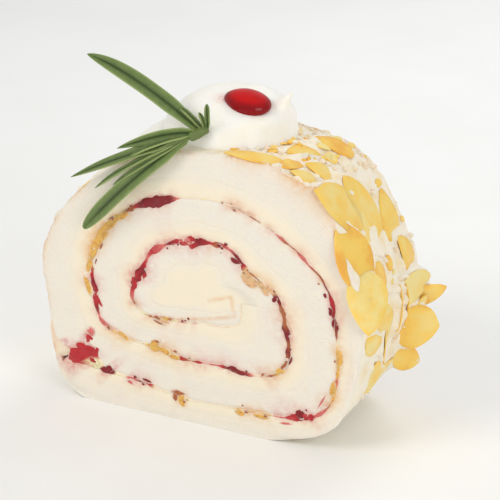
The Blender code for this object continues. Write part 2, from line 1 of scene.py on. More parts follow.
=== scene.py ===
"""The looks of a slice of meringue roulade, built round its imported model.

Lengths are in millimetres and angles in degrees until a mesh is made. The frame is the
model's: Z up, Y along the roll's axis, the front cut face towards -Y, and the origin in
the middle of the flat base.
"""

import itertools
import logging
import math
import random
from collections.abc import Sequence
from dataclasses import dataclass, field, replace
from enum import Enum
from functools import cached_property
from typing import Any

import bmesh
import bpy
import numpy as np
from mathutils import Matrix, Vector
from numpy.typing import NDArray


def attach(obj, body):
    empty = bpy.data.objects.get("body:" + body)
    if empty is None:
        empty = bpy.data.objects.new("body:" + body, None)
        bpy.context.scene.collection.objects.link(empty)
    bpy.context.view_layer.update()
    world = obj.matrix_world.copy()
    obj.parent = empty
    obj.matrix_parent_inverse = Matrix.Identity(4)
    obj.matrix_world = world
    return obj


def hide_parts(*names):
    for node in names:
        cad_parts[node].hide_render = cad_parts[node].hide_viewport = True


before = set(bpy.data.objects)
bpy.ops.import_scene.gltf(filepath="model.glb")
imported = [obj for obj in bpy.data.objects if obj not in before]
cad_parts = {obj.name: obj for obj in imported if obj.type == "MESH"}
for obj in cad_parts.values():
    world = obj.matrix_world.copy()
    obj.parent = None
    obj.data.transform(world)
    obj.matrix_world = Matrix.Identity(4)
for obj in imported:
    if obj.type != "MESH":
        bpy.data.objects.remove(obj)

Array = NDArray[np.float64]
Socket = bpy.types.NodeSocket
MM = 0.001
TURN = 2 * math.pi
SHARP_FROM = 55.0  # degrees between two faces, from which their edge shades as a corner
log = logging.getLogger("roulade")


# ---------------------------------------------------------------- numbers


def smooth(value: Any, low: float, high: float) -> Array:
    """An S curve between two values.

    Args:
        value: Where on the curve, a number or an array.
        low: Where the curve leaves 0.
        high: Where it reaches 1.

    Returns:
        0 below low, 1 above high, and 3s^2 - 2s^3 of the share s between them.
    """
    share = np.clip((np.asarray(value, float) - low) / (high - low), 0.0, 1.0)
    return share * share * (3 - 2 * share)


def bell(value: Any, middle: float = 0.0, spread: float = 1.0) -> Array:
    """A bell curve, exp(-((value - middle) / spread)^2)."""
    return np.exp(-(((np.asarray(value, float) - middle) / spread) ** 2))


def unit(vectors: Array) -> Array:
    """The vectors at length 1, along the last axis."""
    return vectors / np.maximum(np.linalg.norm(vectors, axis=-1, keepdims=True), 1e-12)


def cell_values(cells: NDArray[np.int64], seed: int) -> Array:
    """A fixed value for each cell of a cubic lattice.

    Args:
        cells: Whole-number cell places, three along the last axis.
        seed: Which set of values.

    Returns:
        A value from -1 to 1 per cell: the place and seed hashed by products and shifts.
    """
    low_bits = 0xFFFFFFFF
    mixed = cells[..., 0] * 374761393 + cells[..., 1] * 668265263
    mixed = mixed + cells[..., 2] * 973849 + seed * 69069
    mixed = ((mixed & low_bits) ^ ((mixed & low_bits) >> 13)) * 1274126177 & low_bits
    mixed = (mixed ^ (mixed >> 15)) * 2246822519 & low_bits
    return (mixed ^ (mixed >> 16)) / (low_bits / 2) - 1


def rough(points: Array, grain: float, seed: int, octaves: int = 1) -> Array:
    """Smooth random relief.

    Args:
        points: Places, three along the last axis.
        grain: The size of one swell, in the places' unit.
        seed: Which relief.
        octaves: How many layers, each half as large and half as strong as the one before.

    Returns:
        About -1 to 1 per place: the lattice's values joined by S curves along each axis.
    """
    total = np.zeros(points.shape[:-1])
    for octave in range(octaves):
        place = points * (2**octave / grain) + 0.37 * seed
        cell = np.floor(place).astype(np.int64)
        share = smooth(place - cell, 0, 1)
        for corner in itertools.product((0, 1), repeat=3):
            weight = np.prod(np.where(np.array(corner) == 1, share, 1 - share), axis=-1)
            total += 0.5**octave * weight * cell_values(cell + np.array(corner), seed + 31 * octave)
    return total


def turning(axis: int, degrees: float) -> Array:
    """The matrix that turns by this angle about axis 0, 1 or 2."""
    one, two = (axis + 1) % 3, (axis + 2) % 3
    matrix = np.eye(3)
    cosine, sine = math.cos(math.radians(degrees)), math.sin(math.radians(degrees))
    matrix[one, one] = matrix[two, two] = cosine
    matrix[one, two], matrix[two, one] = -sine, sine
    return matrix


def unit_ball(rows: int, columns: int) -> Array:
    """A ball of radius 1: this many rings of this many points, from its top to its bottom."""
    down = np.linspace(0, math.pi, rows)[:, None]
    around = np.linspace(0, TURN, columns, endpoint=False)[None, :]
    flat = np.sin(down)
    return np.stack(np.broadcast_arrays(flat * np.cos(around), flat * np.sin(around), np.cos(down)), axis=-1)


# ---------------------------------------------------------------- meshes


@dataclass
class Shell:
    """A closed surface: its points, its faces of four corners, and values given per point."""

    points: Array
    faces: NDArray[np.int64]
    values: dict[str, Array] = field(default_factory=dict)

    @classmethod
    def from_grid(cls, points: Array, values: dict[str, Array | float] | None = None) -> "Shell":
        """A surface over a grid whose columns close on themselves.

        Args:
            points: Rows by columns of places. The first and last row each close to a point or a seam.
            values: Named values, each a number or of a shape that spreads over the grid.

        Returns:
            The surface, with one face between each four neighbours.
        """
        rows, columns = points.shape[:2]
        row, column = np.meshgrid(np.arange(rows - 1), np.arange(columns), indexing="ij")
        beside = (column + 1) % columns
        corners = (row * columns + column, row * columns + beside, (row + 1) * columns + beside)
        faces = np.stack((*corners, (row + 1) * columns + column), axis=-1).reshape(-1, 4)
        spread = {name: np.broadcast_to(v, (rows, columns)).ravel() for name, v in (values or {}).items()}
        return cls(points.reshape(-1, 3), faces, spread)

    @classmethod
    def joined(cls, shells: Sequence["Shell"]) -> "Shell":
        """One surface of several closed parts, which share the first one's value names."""
        starts = np.cumsum([0] + [len(shell.points) for shell in shells[:-1]])
        return cls(
            np.concatenate([shell.points for shell in shells]),
            np.concatenate([shell.faces + start for shell, start in zip(shells, starts)]),
            {name: np.concatenate([shell.values[name] for shell in shells]) for name in shells[0].values},
        )


def make_piece(name: str, shell: Shell, finish: "Finish", slot: str, *nodes: str) -> bpy.types.Object:
    """Makes a finished piece of a surface and hands it to the frame.

    Args:
        name: The piece's name.
        shell: Its surface, in millimetres.
        finish: Its finish.
        slot: The record's material slot; not used.
        *nodes: The model's nodes that it stands for.

    Returns:
        The object at the origin, with doubles merged, normals outwards and smooth shading.
    """
    mesh = bpy.data.meshes.new(name)
    mesh.vertices.add(len(shell.points))
    mesh.vertices.foreach_set("co", (shell.points * MM).astype(np.float32).ravel())
    mesh.loops.add(shell.faces.size)
    mesh.loops.foreach_set("vertex_index", shell.faces.astype(np.int32).ravel())
    mesh.polygons.add(len(shell.faces))
    mesh.polygons.foreach_set("loop_start", np.arange(0, shell.faces.size, 4, dtype=np.int32))
    for label, values in shell.values.items():
        layer = mesh.attributes.new(label, "FLOAT", "POINT")
        layer.data.foreach_set("value", values.astype(np.float32))
    mesh.update(calc_edges=True)
    work = bmesh.new()
    work.from_mesh(mesh)
    bmesh.ops.remove_doubles(work, verts=work.verts, dist=1e-7)
    bmesh.ops.recalc_face_normals(work, faces=work.faces)
    work.to_mesh(mesh)
    work.free()
    mesh.polygons.foreach_set("use_smooth", np.ones(len(mesh.polygons), bool))
    mesh.set_sharp_from_angle(angle=math.radians(SHARP_FROM))
    mesh.materials.append(finish.material())
    piece = bpy.data.objects.new(name, mesh)
    bpy.context.scene.collection.objects.link(piece)
    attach(piece, "root")
    if nodes:
        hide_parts(*nodes)
    triangles = sum(len(polygon.vertices) - 2 for polygon in mesh.polygons)
    log.info("%s: %d triangles, %s", name, triangles, finish.name)
    return piece


# ---------------------------------------------------------------- finishes


def linear(code: str) -> tuple[float, float, float, float]:
    """Turns an sRGB hex colour such as #E8C070 into a linear one with alpha 1."""
    channels = (int(code[at : at + 2], 16) / 255 for at in (1, 3, 5))
    return (*(c / 12.92 if c <= 0.04045 else ((c + 0.055) / 1.055) ** 2.4 for c in channels), 1.0)


@dataclass
class Nodes:
    """One material's shader nodes, added as its colour and relief ask for them."""

    tree: bpy.types.NodeTree

    def add(
        self,
        kind: str,
        settings: dict[str, Any] | None = None,
        inputs: dict[str | int, Any] | None = None,
    ) -> bpy.types.Node:
        """Adds a shader node.

        Args:
            kind: The node's type, without its ShaderNode prefix.
            settings: Its properties.
            inputs: For each input, a value, or the output that it is linked to.

        Returns:
            The node.
        """
        node = self.tree.nodes.new("ShaderNode" + kind)
        for name, value in (settings or {}).items():
            setattr(node, name, value)
        for name, value in (inputs or {}).items():
            if isinstance(value, bpy.types.NodeSocket):
                self.tree.links.new(value, node.inputs[name])
            else:
                node.inputs[name].default_value = value
        return node

    @cached_property
    def place(self) -> Socket:
        """The place on the object."""
        return self.add("TexCoord").outputs["Object"]

    def value(self, label: str) -> Socket:
        """The piece's own value of this name."""
        return self.add("Attribute", {"attribute_name": label}).outputs["Fac"]

    def noise(self, grain_mm: float, detail: float = 3.0) -> Socket:
        """Cloudy noise whose swells are this size, 0 to 1 and mostly near a half."""
        settings = {"Vector": self.place, "Scale": 1 / (grain_mm * MM), "Detail": detail}
        return self.add("TexNoise", inputs=settings).outputs["Fac"]

    def ramp(self, value: Socket, low: float, high: float, top: float = 1.0) -> Socket:
        """An S curve of the value, from 0 at low to top at high."""
        settings = {"Value": value, "From Min": low, "From Max": high, "To Max": top}
        return self.add("MapRange", {"interpolation_type": "SMOOTHSTEP"}, settings).outputs[0]

    def sums(self, operation: str, one: Any, two: Any) -> Socket:
        """One sum of two values, such as MULTIPLY."""
        return self.add("Math", {"operation": operation}, {0: one, 1: two}).outputs[0]

    def mixed(self, share: Any, one: Any, two: Any) -> Socket:
        """The colour between two colours, each a hex code or an output, at this share."""
        ends = [linear(end) if isinstance(end, str) else end for end in (one, two)]
        return self.add("Mix", {"data_type": "RGBA"}, {0: share, 6: ends[0], 7: ends[1]}).outputs[2]


@dataclass(frozen=True)
class Finish:
    """What every surface of the slice shares: the shader's settings, a colour and a fine relief."""

    name: str
    roughness: float = 0.5
    subsurface: float = 0.0
    scatter_mm: float = 1.0
    scatter_tint: tuple[float, float, float] = (1.0, 0.75, 0.5)
    specular: float = 0.5
    coat: float = 0.0
    coat_roughness: float = 0.1
    relief_mm: float = 0.1

    def colour(self, nodes: Nodes) -> Socket:
        """Adds the nodes of the surface's colour and returns their output."""
        raise NotImplementedError

    def height(self, nodes: Nodes) -> Socket:
        """Adds the nodes of the fine relief, 0 to 1, and returns their output."""
        raise NotImplementedError

    def material(self) -> bpy.types.Material:
        """Builds the material round its own colour and relief."""
        made = bpy.data.materials.new(self.name)
        made.use_nodes = True
        made.node_tree.nodes.clear()
        nodes = Nodes(made.node_tree)
        relief = {"Height": self.height(nodes), "Distance": self.relief_mm * MM, "Strength": 1.0}
        settings = {
            "Base Color": self.colour(nodes),
            "Roughness": self.roughness,
            "Specular IOR Level": self.specular,
            "Subsurface Weight": self.subsurface,
            "Subsurface Radius": self.scatter_tint,
            "Subsurface Scale": self.scatter_mm * MM,
            "Coat Weight": self.coat,
            "Coat Roughness": self.coat_roughness,
            "Normal": nodes.add("Bump", inputs=relief).outputs["Normal"],
        }
        shader = nodes.add("BsdfPrincipled", inputs=settings)
        nodes.add("OutputMaterial", inputs={"Surface": shader.outputs["BSDF"]})
        return made


@dataclass(frozen=True)
class StainedWhite(Finish):
    """The slice's white foams: cool white to creamy, with jam and syrup soaked in near the lines."""

    inside: str = "#EEE7DB"
    creamy: str = "#F4E9D2"
    rosy: str = "#D2605C"
    syrup: str = "#E0A148"

    def stained(self, nodes: Nodes, clouds: Socket) -> Socket:
        """White to creamy by the piece's warmth and these clouds, then its pink and amber stains."""
        warm = nodes.sums("ADD", nodes.value("warmth"), clouds)
        white = nodes.mixed(warm, self.inside, self.creamy)
        fine = nodes.noise(1.3)
        stains = (("pink", (0.1, 0.8, 1.25), self.rosy), ("amber", (0.05, 0.65, 1.2), self.syrup))
        for label, curve, stain in stains:
            soaked = nodes.sums("MULTIPLY", nodes.value(label), nodes.ramp(fine, *curve))
            white = nodes.mixed(soaked, white, stain)
        return white


@dataclass(frozen=True)
class BakedMeringue(StainedWhite):
    """Meringue sheet, whisked, baked and cut: marshmallow white inside, a dry pale tan crust outside."""

    crust: str = "#F4EBD8"
    toasted: str = "#F0D6A2"

    def colour(self, nodes: Nodes) -> Socket:
        """The stained white inside, and outside the crust with its toasted patches."""
        white = self.stained(nodes, nodes.ramp(nodes.noise(3.5), 0.35, 0.75, 0.35))
        patches = nodes.ramp(nodes.noise(4.5, 4.0), 0.45, 0.75, 0.7)
        outside = nodes.mixed(patches, self.crust, self.toasted)
        return nodes.mixed(nodes.value("crust"), white, outside)

    def height(self, nodes: Nodes) -> Socket:
        """Fine bubbles, about half a millimetre across, among soft grain."""
        bubbles = nodes.add("TexVoronoi", inputs={"Vector": nodes.place, "Scale": 1 / (0.9 * MM)})
        pits = nodes.ramp(bubbles.outputs["Distance"], 0.05, 0.4, 0.5)
        return nodes.sums("ADD", pits, nodes.noise(0.6))


@dataclass(frozen=True)
class WhippedCream(StainedWhite):
    """Cream, whipped and spread or piped: ivory, soft and faintly moist, pink where jam has bled."""

    def colour(self, nodes: Nodes) -> Socket:
        """Ivory, with its stains."""
        return self.stained(nodes, nodes.ramp(nodes.noise(4.0), 0.3, 0.8, 0.3))

    def height(self, nodes: Nodes) -> Socket:
        """Soft grain and finer air bubbles."""
        return nodes.sums("ADD", nodes.noise(1.6), nodes.noise(0.5))


class Filling(Enum):
    """What the jam line holds along its way, by its colour."""

    PALE = "#F4E4B8"
    RED = "#BE242C"
    DARK = "#84161F"
    ROSE = "#DA746E"
    AMBER = "#E8B45A"
    BROWN = "#AE6438"
    TAN = "#E6B888"


@dataclass(frozen=True)
class RedJam(Finish):
    """Cooked red berry jam, spread thin: wet and dark where thick, milky where it thins into the cream."""

    milky: str = "#F6E6D6"

    def colour(self, nodes: Nodes) -> Socket:
        """Each filling laid over those before it by its part of them, grained, and faded where thin."""
        laid: Any = Filling.PALE.value
        for filling in Filling:
            laid = nodes.mixed(nodes.value(filling.name.lower()), laid, filling.value)
        grains = nodes.ramp(nodes.noise(0.8, 4.0), 0.46, 0.66, 0.55)
        jam = nodes.mixed(grains, laid, nodes.mixed(0.5, laid, Filling.DARK.value))
        thin = nodes.sums("ADD", nodes.value("thin"), nodes.noise(0.7, 4.0))
        faded = nodes.mixed(0.68, laid, self.milky)
        return nodes.mixed(nodes.ramp(thin, 0.82, 1.3), jam, faded)

    def height(self, nodes: Nodes) -> Socket:
        """Pulp and small seeds."""
        return nodes.noise(0.9, 4.0)


@dataclass(frozen=True)
class FlakedAlmond(Finish):
    """Blanched almonds, sliced thin and baked: pale yellow, satin, amber where the oven has caught them."""

    pale: str = "#F2DC92"
    golden: str = "#FACC5E"
    toasted: str = "#F0AC40"

    def colour(self, nodes: Nodes) -> Socket:
        """Pale to golden by the flake's own tone, deeper at the rim and in soft patches."""
        clouds = nodes.ramp(nodes.noise(5.0), 0.3, 0.7, 0.5)
        tone = nodes.sums("ADD", nodes.value("tone"), clouds)
        tone = nodes.sums("ADD", tone, nodes.sums("MULTIPLY", nodes.value("rim"), 0.22))
        nut = nodes.mixed(nodes.ramp(tone, 0.2, 0.95), self.pale, self.golden)
        return nodes.mixed(nodes.ramp(tone, 0.85, 1.5), nut, self.toasted)

    def height(self, nodes: Nodes) -> Socket:
        """The knife's faint ripples over the nut's grain."""
        return nodes.sums("ADD", nodes.noise(2.2, 2.0), nodes.noise(0.5))


@dataclass(frozen=True)
class RedJelly(Finish):
    """Set red jelly: clear bright red with a wet shine, painted darker towards its rim as shade of its curved
    sides.
    """

    bright: str = "#C40A0C"
    deep_and_shaded_red: str = "#8A040B"

    def colour(self, nodes: Nodes) -> Socket:
        """Bright red in the middle, darker towards the rim as painted shade, with faint clouds."""
        clouds = nodes.ramp(nodes.noise(2.5), 0.4, 0.8, 0.3)
        # The rim value paints the drop darker towards its edge, as painted shade of its curved sides; the
        # clouds are random tone.
        share = nodes.sums("ADD", nodes.value("rim"), clouds)
        return nodes.mixed(share, self.bright, self.deep_and_shaded_red)

    def height(self, nodes: Nodes) -> Socket:
        """A barely uneven skin."""
        return nodes.noise(2.5, 1.0)


@dataclass(frozen=True)
class RosemaryLeaf(Finish):
    """Fresh rosemary needles: leathery dark green, painted shade in the groove, pale rolled margins and
    undersides.
    """

    leaf: str = "#6E8246"
    shade: str = "#526834"
    groove: str = "#3A4E26"
    margin: str = "#A2B070"
    wood: str = "#66783E"

    def colour(self, nodes: Nodes) -> Socket:
        """Green by the leaf's own tone, darkened in the groove as painted shade, and pale at the margins."""
        clouds = nodes.ramp(nodes.noise(1.8, 4.0), 0.3, 0.75, 0.45)
        green = nodes.mixed(clouds, self.leaf, self.shade)
        # The groove colour is painted shade in the needle's sunken channel.
        green = nodes.mixed(nodes.value("groove"), green, self.groove)
        green = nodes.mixed(nodes.value("margin"), green, self.margin)
        return nodes.mixed(nodes.value("wood"), green, self.wood)

    def height(self, nodes: Nodes) -> Socket:
        """Fine leathery pores."""
        return nodes.noise(0.35, 3.0)


@dataclass(frozen=True)
class PaleBoard(Finish):
    """The plain pale floor: matt painted board with barely seen clouds."""

    paint: str = "#F8F8F6"
    worn: str = "#F5F5F2"

    def colour(self, nodes: Nodes) -> Socket:
        """Pale grey with faint clouds."""
        clouds = nodes.ramp(nodes.noise(60.0), 0.3, 0.7)
        return nodes.mixed(clouds, self.paint, self.worn)

    def height(self, nodes: Nodes) -> Socket:
        """Roller texture."""
        return nodes.noise(1.5)


# ---------------------------------------------------------------- the roll's section


@dataclass(frozen=True)
class RollSection:
    """The roll's cross-section, as the model has it: each line is a nested superellipse, wound inwards.

    A place on it is a winding angle, counted from the tail's tip at the lower left, and an
    inset, the depth below the roll's outside.
    """

    depth: float = 35.0
    half_width: float = 43.3
    centre_height: float = 35.0
    rise: float = 35.2
    sag: float = 0.7
    sag_reach: float = 1.5
    exponents: tuple[float, float] = (1.69, 1.92)
    corners: tuple[tuple[float, float, float], ...] = ((1.5, 4.0, 317), (5.5, 0.4, 243), (1.75, 0.0, 73))
    corner_focus: float = 5.0
    skin_reach: float = 3.5
    core_flatness: float = 0.3
    core_ease: float = 3.0
    tail_angle: float = 203.0
    jam_start: float = 5.0
    jam_end: float = 875.0
    sheet_end: float = 1235.0
    tuck: tuple[float, float] = (352.0, 370.0)
    meringue_share: float = 0.66
    inner_tip: float = 3.0
    gap: float = 0.3
    first_inset: float = 3.9
    wind_pitch: float = 10.9
    jam_least: float = 0.6
    lump_inwards: float = 0.7
    bump: float = 0.45
    bump_grain: float = 9.0
    edge_rounding: float = 0.5
    back_fall: float = 2.8
    back_fall_direction: float = 58.0
    back_fall_spread: float = 19.0
    strays: tuple[tuple[float, float, float], ...] = (
        (0, -2.4, 14),
        (36, 2.4, 18),
        (140, -1.9, 24),
        (195, 0.9, 20),
        (345, 0.8, 14),
        (362, -2.6, 14),
        (398, 1.7, 18),
        (468, -1.5, 20),
        (541, 4.3, 20),
        (684, 2.2, 18),
        (692, 0.8, 14),
        (722, -2.4, 16),
        (828, -0.8, 20),
        (868, 1.2, 14),
    )
    lumps: tuple[tuple[float, float, float], ...] = (
        (13, 4.2, 5),
        (23, 1.0, 4),
        (113, 1.6, 4),
        (138, 0.5, 12),
        (160, 0.6, 10),
        (274, 2.0, 12),
        (314, 1.9, 17),
        (350, 1.2, 9),
        (393, 0.8, 10),
        (454, 0.6, 11),
        (506, 1.1, 20),
        (537, 1.3, 12),
        (562, 0.5, 10),
        (585, 0.7, 9),
        (612, 2.0, 15),
        (655, 1.3, 12),
        (692, 2.4, 12),
        (738, 1.2, 12),
    )

    def radius(self, direction: Any, inset: Any) -> Array:
        """How far a line lies from the section's centre.

        Args:
            direction: The direction from the centre, in degrees.
            inset: The line's depth below the outside.

        Returns:
            The radius of a superellipse whose half axes are shorter by the inset, whose
            exponent grows at the corners, and which ends at the flat base.
        """
        turned, inset = np.radians(direction), np.asarray(inset, float)
        across, up = np.cos(turned), np.sin(turned)
        outside = np.exp(-np.maximum(inset, 0) / self.skin_reach)
        exponent = self.exponents[0] * outside + self.exponents[1] * (1 - outside)
        for outer, inner, corner in self.corners:
            facing = np.maximum(0.0, np.cos(turned - math.radians(corner))) ** self.corner_focus
            exponent = exponent + facing * (outer * outside + inner * (1 - outside))
        half_width = self.half_width - inset
        below = self.centre_height + self.sag * np.exp(-inset / self.sag_reach) - inset
        half_height = np.where(up < 0, below, self.rise - inset)
        flattest = self.core_flatness * half_width
        half_height = (half_height + flattest + np.hypot(half_height - flattest, self.core_ease)) / 2
        reach = (np.abs(across) / half_width) ** exponent + (np.abs(up) / half_height) ** exponent
        found = reach ** (-1 / exponent)
        return np.where(up < 0, np.minimum(found, self.centre_height / np.maximum(-up, 1e-9)), found)

    def point(self, wind: Any, inset: Any) -> Array:
        """The places (x, z) at these winding angles and insets, along a new last axis."""
        direction = self.tail_angle + np.asarray(wind, float)
        found = self.radius(direction, inset)
        turned = np.radians(direction)
        return np.stack((found * np.cos(turned), self.centre_height + found * np.sin(turned)), axis=-1)

    @staticmethod
    def swells(wind: Any, table: Sequence[tuple[float, float, float]]) -> Array:
        """The sum of a table's bells: each has its winding angle, height and spread."""
        return sum(amount * bell(wind, at, spread) for at, amount, spread in table)

    def jam_inset(self, wind: Any) -> Array:
        """The inset of the jam's middle: an even spiral and its strays."""
        even = self.first_inset + self.wind_pitch * np.asarray(wind, float) / 360
        return even + self.swells(wind, self.strays)

    def jam_faces(self, wind: Any) -> tuple[Array, Array]:
        """The insets of the jam's outer and inner face, with its lumps."""
        lump, middle = self.swells(wind, self.lumps), self.jam_inset(wind)
        outer = middle - self.jam_least / 2 - (1 - self.lump_inwards) * lump
        return outer, middle + self.jam_least / 2 + self.lump_inwards * lump

    def sheet_outer(self, wind: Any) -> Array:
        """The sheet's outer face: the outside for a turn, then just inside the jam before."""
        before = np.maximum(0.0, np.asarray(wind, float) - 360)
        return (self.jam_faces(before)[1] + self.gap) * smooth(wind, *self.tuck)

    def sheet_inner(self, wind: Any) -> Array:
        """The sheet's inner face: a share of the band as far as the jam, then tapering to its tip."""
        reach = np.minimum(wind, self.jam_end)
        band = self.jam_faces(reach)[0] - 2 * self.gap - self.sheet_outer(reach)
        thickness = np.maximum(self.meringue_share * band, 1.0)
        left = np.clip((self.sheet_end - wind) / (self.sheet_end - self.jam_end), 0.0, 1.0)
        return self.sheet_outer(wind) + self.inner_tip + (thickness - self.inner_tip) * left

    def sheet_middle(self, wind: Any) -> Array:
        """The inset halfway between the sheet's two faces."""
        return (self.sheet_outer(wind) + self.sheet_inner(wind)) / 2

    def even_winds(self, first: float, last: float, step: float, line: Any) -> Array:
        """Winding angles whose places along a line are this step apart.

        Args:
            first: The first winding angle.
            last: The last one.
            step: The distance between neighbours.
            line: The line's inset as a function of the winding angle.

        Returns:
            The angles, by turning the length along the line back into angles.
        """
        fine = np.linspace(first, last, 8000)
        places = self.point(fine, line(fine))
        run = np.concatenate(([0.0], np.cumsum(np.linalg.norm(np.diff(places, axis=0), axis=1))))
        return np.interp(np.linspace(0, run[-1], max(8, round(run[-1] / step))), run, fine)

    def top(self, x: Any) -> Array:
        """The height of the roll's top above each x."""
        outline = self.point(np.linspace(-23, 157, 721), 0.0)[::-1]
        return np.interp(x, outline[:, 0], outline[:, 1])

    def direction(self, x: Any, z: Any) -> Array:
        """The direction from the section's centre to these places."""
        return np.degrees(np.arctan2(z - self.centre_height, x))

    def outside_bump(self, places: Array) -> Array:
        """How far the roll's plain outside stands proud here.

        Args:
            places: Places on the plain outside.

        Returns:
            Swells that fade at the base and the cut edges, less the edges' rounding and the
            fall of the upper right towards the back.
        """
        x, y, z = np.moveaxis(places, -1, 0)
        near_cut = smooth(np.abs(y), 0.4 * self.depth, 0.5 * self.depth)
        swells = self.bump * (1 - near_cut) * rough(places, self.bump_grain, 1)
        fall = self.back_fall * bell(self.direction(x, z), self.back_fall_direction, self.back_fall_spread)
        fall = fall * smooth(y, 0.1 * self.depth, 0.5 * self.depth)
        return smooth(z, 2.5, 10.0) * (swells - self.edge_rounding * near_cut - fall)


@dataclass(frozen=True)
class JamLine:
    """What lies along the jam line, and how far it has soaked into the white on either side."""

    section: RollSection
    stretches: str = (
        "8 red, 17 red, 19 pale, 21.5 pale, 22 dark, 25 dark, 26 pale, 30 pale, 31 rose, "
        "36 rose, 38 dark, 43 red, 46 pale, 54 pale, 56 brown, 58 amber, 61 amber, 63 pale, "
        "86 pale, 88 amber, 92 amber, 93 brown, 95 amber, 100 amber, 102 pale, 104 rose, "
        "108 red, 112 dark, 116 red, 119 rose, 123 brown, 128 amber, 134 rose, 139 amber, "
        "145 amber, 149 pale, 152 brown, 155 dark, 163 red, 168 dark, 171 brown, 176 brown, "
        "183 rose, 188 brown, 196 rose, 201 brown, 208 pale, 213 brown, 225 brown, 232 pale, "
        "256 pale, 261 rose, 265 dark, 281 dark, 286 red, 291 brown, 295 amber, 334 amber, "
        "338 red, 342 dark, 351 red, 356 dark, 360 rose, 366 rose, 370 amber, 378 amber, "
        "382 pale, 388 pale, 390 amber, 411 amber, 414 red, 422 brown, 432 red, 438 rose, "
        "448 red, 451 dark, 459 dark, 463 rose, 468 pale, 471 brown, 474 brown, 479 amber, "
        "488 brown, 492 dark, 497 brown, 501 dark, 505 dark, 509 brown, 517 brown, 521 dark, "
        "525 dark, 528 tan, 548 tan, 551 red, 556 dark, 566 dark, 572 rose, 580 red, 586 brown, "
        "594 red, 602 dark, 611 red, 622 rose, 628 red, 640 dark, 646 rose, 660 red, 670 rose, "
        "678 red, 684 dark, 690 red, 698 dark, 705 red, 711 rose, 717 brown, 724 pale, 729 pale, "
        "733 brown, 741 amber, 747 brown, 753 pale, 762 rose, 774 pale, 782 rose, 790 pale, "
        "875 pale"
    )
    loop: tuple[tuple[float, float], ...] = (
        (-5.8, 26.9),
        (2.3, 28.6),
        (10.6, 30.8),
        (9.8, 33.0),
        (9.4, 35.6),
        (3.7, 33.7),
    )

    def share(self, wind: Array, *fillings: Filling) -> Array:
        """How much of the line here is of these fillings, 0 to 1, straight between the stretches."""
        words = [stretch.split() for stretch in self.stretches.split(",")]
        amounts = [float(Filling[kind.upper()] in fillings) for _, kind in words]
        return np.interp(wind, [float(at) for at, _ in words], amounts)

    def laid(self, wind: Array) -> dict[str, Array]:
        """Each filling's part of itself and those before it, so that laying them in turn gives the mix."""
        shares = np.array([self.share(wind, filling) for filling in Filling])
        parts = shares / np.maximum(np.cumsum(shares, axis=0), 1e-6)
        return {filling.name.lower(): part for filling, part in zip(Filling, parts)}

    def looped(self, x: Array, z: Array, side: Array) -> Array:
        """How much syrup stains the front face along the core's thin loop."""
        return 0.35 * near_line(x, z, self.loop, 0.5) * (side < 0)

    def stains(self, wind: Array, inset: Array, places: Array) -> dict[str, Array]:
        """How far jam and syrup have soaked in.

        Args:
            wind: Winding angles, one per row.
            inset: Insets, one per place.
            places: The same places in the slice.

        Returns:
            The values pink and amber, each the line's share of it times a bell of the
            distance to the line outside and the line inside the place.
        """
        section = self.section
        uneven = smooth(rough(places, 4.5, 21), -0.6, 0.6)
        reach = 0.55 + 1.5 * uneven + 0.25 * rough(places, 1.1, 22)
        pink, amber = np.zeros(inset.shape), np.zeros(inset.shape)
        for line in (wind, wind - 360):
            here = (line > section.jam_start) & (line < section.jam_end)
            half = section.swells(line, section.lumps) / 2
            away = np.maximum(0, np.abs(inset - section.jam_inset(line)) - half)
            near = np.where(here, np.exp(-((away / reach) ** 1.2)), 0.0)
            red = self.share(line, Filling.RED, Filling.DARK)
            rose = self.share(line, Filling.ROSE, Filling.BROWN)
            syrup = self.share(line, Filling.AMBER, Filling.TAN)
            brown = self.share(line, Filling.BROWN)
            pink += near * (0.6 * red + 0.45 * rose)
            amber += near * (0.6 * syrup + 0.3 * brown)
        return {"pink": np.clip(pink, 0, 1), "amber": np.clip(amber, 0, 1)}


@dataclass(frozen=True)
class CutFace:
    """How the two cut faces undulate: soft swells, and faint streaks where the knife dragged."""

    swell: float = 0.28
    swell_grain: float = 9.0
    ripple: float = 0.09
    ripple_grain: float = 3.0
    streak: float = 0.05
    streak_length: float = 15.0
    streak_grain: float = 1.1

    def relief(self, x: Array, z: Array, side: Array) -> Array:
        """How far the face stands proud.

        Args:
            x: Places across.
            z: Places up.
            side: -1 on the front face, 1 on the back.

        Returns:
            The sum of two sizes of noise, and of noise drawn out along X that is
            strongest at the lower right.
        """
        places = np.stack(np.broadcast_arrays(x, side * 60.0, z), axis=-1)
        drawn = places * np.array((self.streak_grain / self.streak_length, 1.0, 1.0))
        dragged = smooth(x - z, -30, 25)
        return (
            self.swell * rough(places, self.swell_grain, 3)
            + self.ripple * rough(places, self.ripple_grain, 4)
            + self.streak * dragged * rough(drawn, self.streak_grain, 5)
        )


def near_line(x: Array, z: Array, line: Sequence[tuple[float, float]], spread: float) -> Array:
    """How near places of the section lie to a broken line, where jam has run through the white.

    Args:
        x: Places across.
        z: Places up.
        line: The line's corners.
        spread: How far it is felt.

    Returns:
        The greatest, over the line's straight runs, of a bell of the distance to the run.
    """
    place = np.stack((x, z), axis=-1)
    found = np.zeros(x.shape)
    for start, end in itertools.pairwise(np.array(line)):
        towards = end - start
        share = np.clip(((place - start) @ towards) / (towards @ towards), 0, 1)
        away = np.linalg.norm(place - start - share[..., None] * towards, axis=-1)
        found = np.maximum(found, bell(away, 0, spread))
    return found


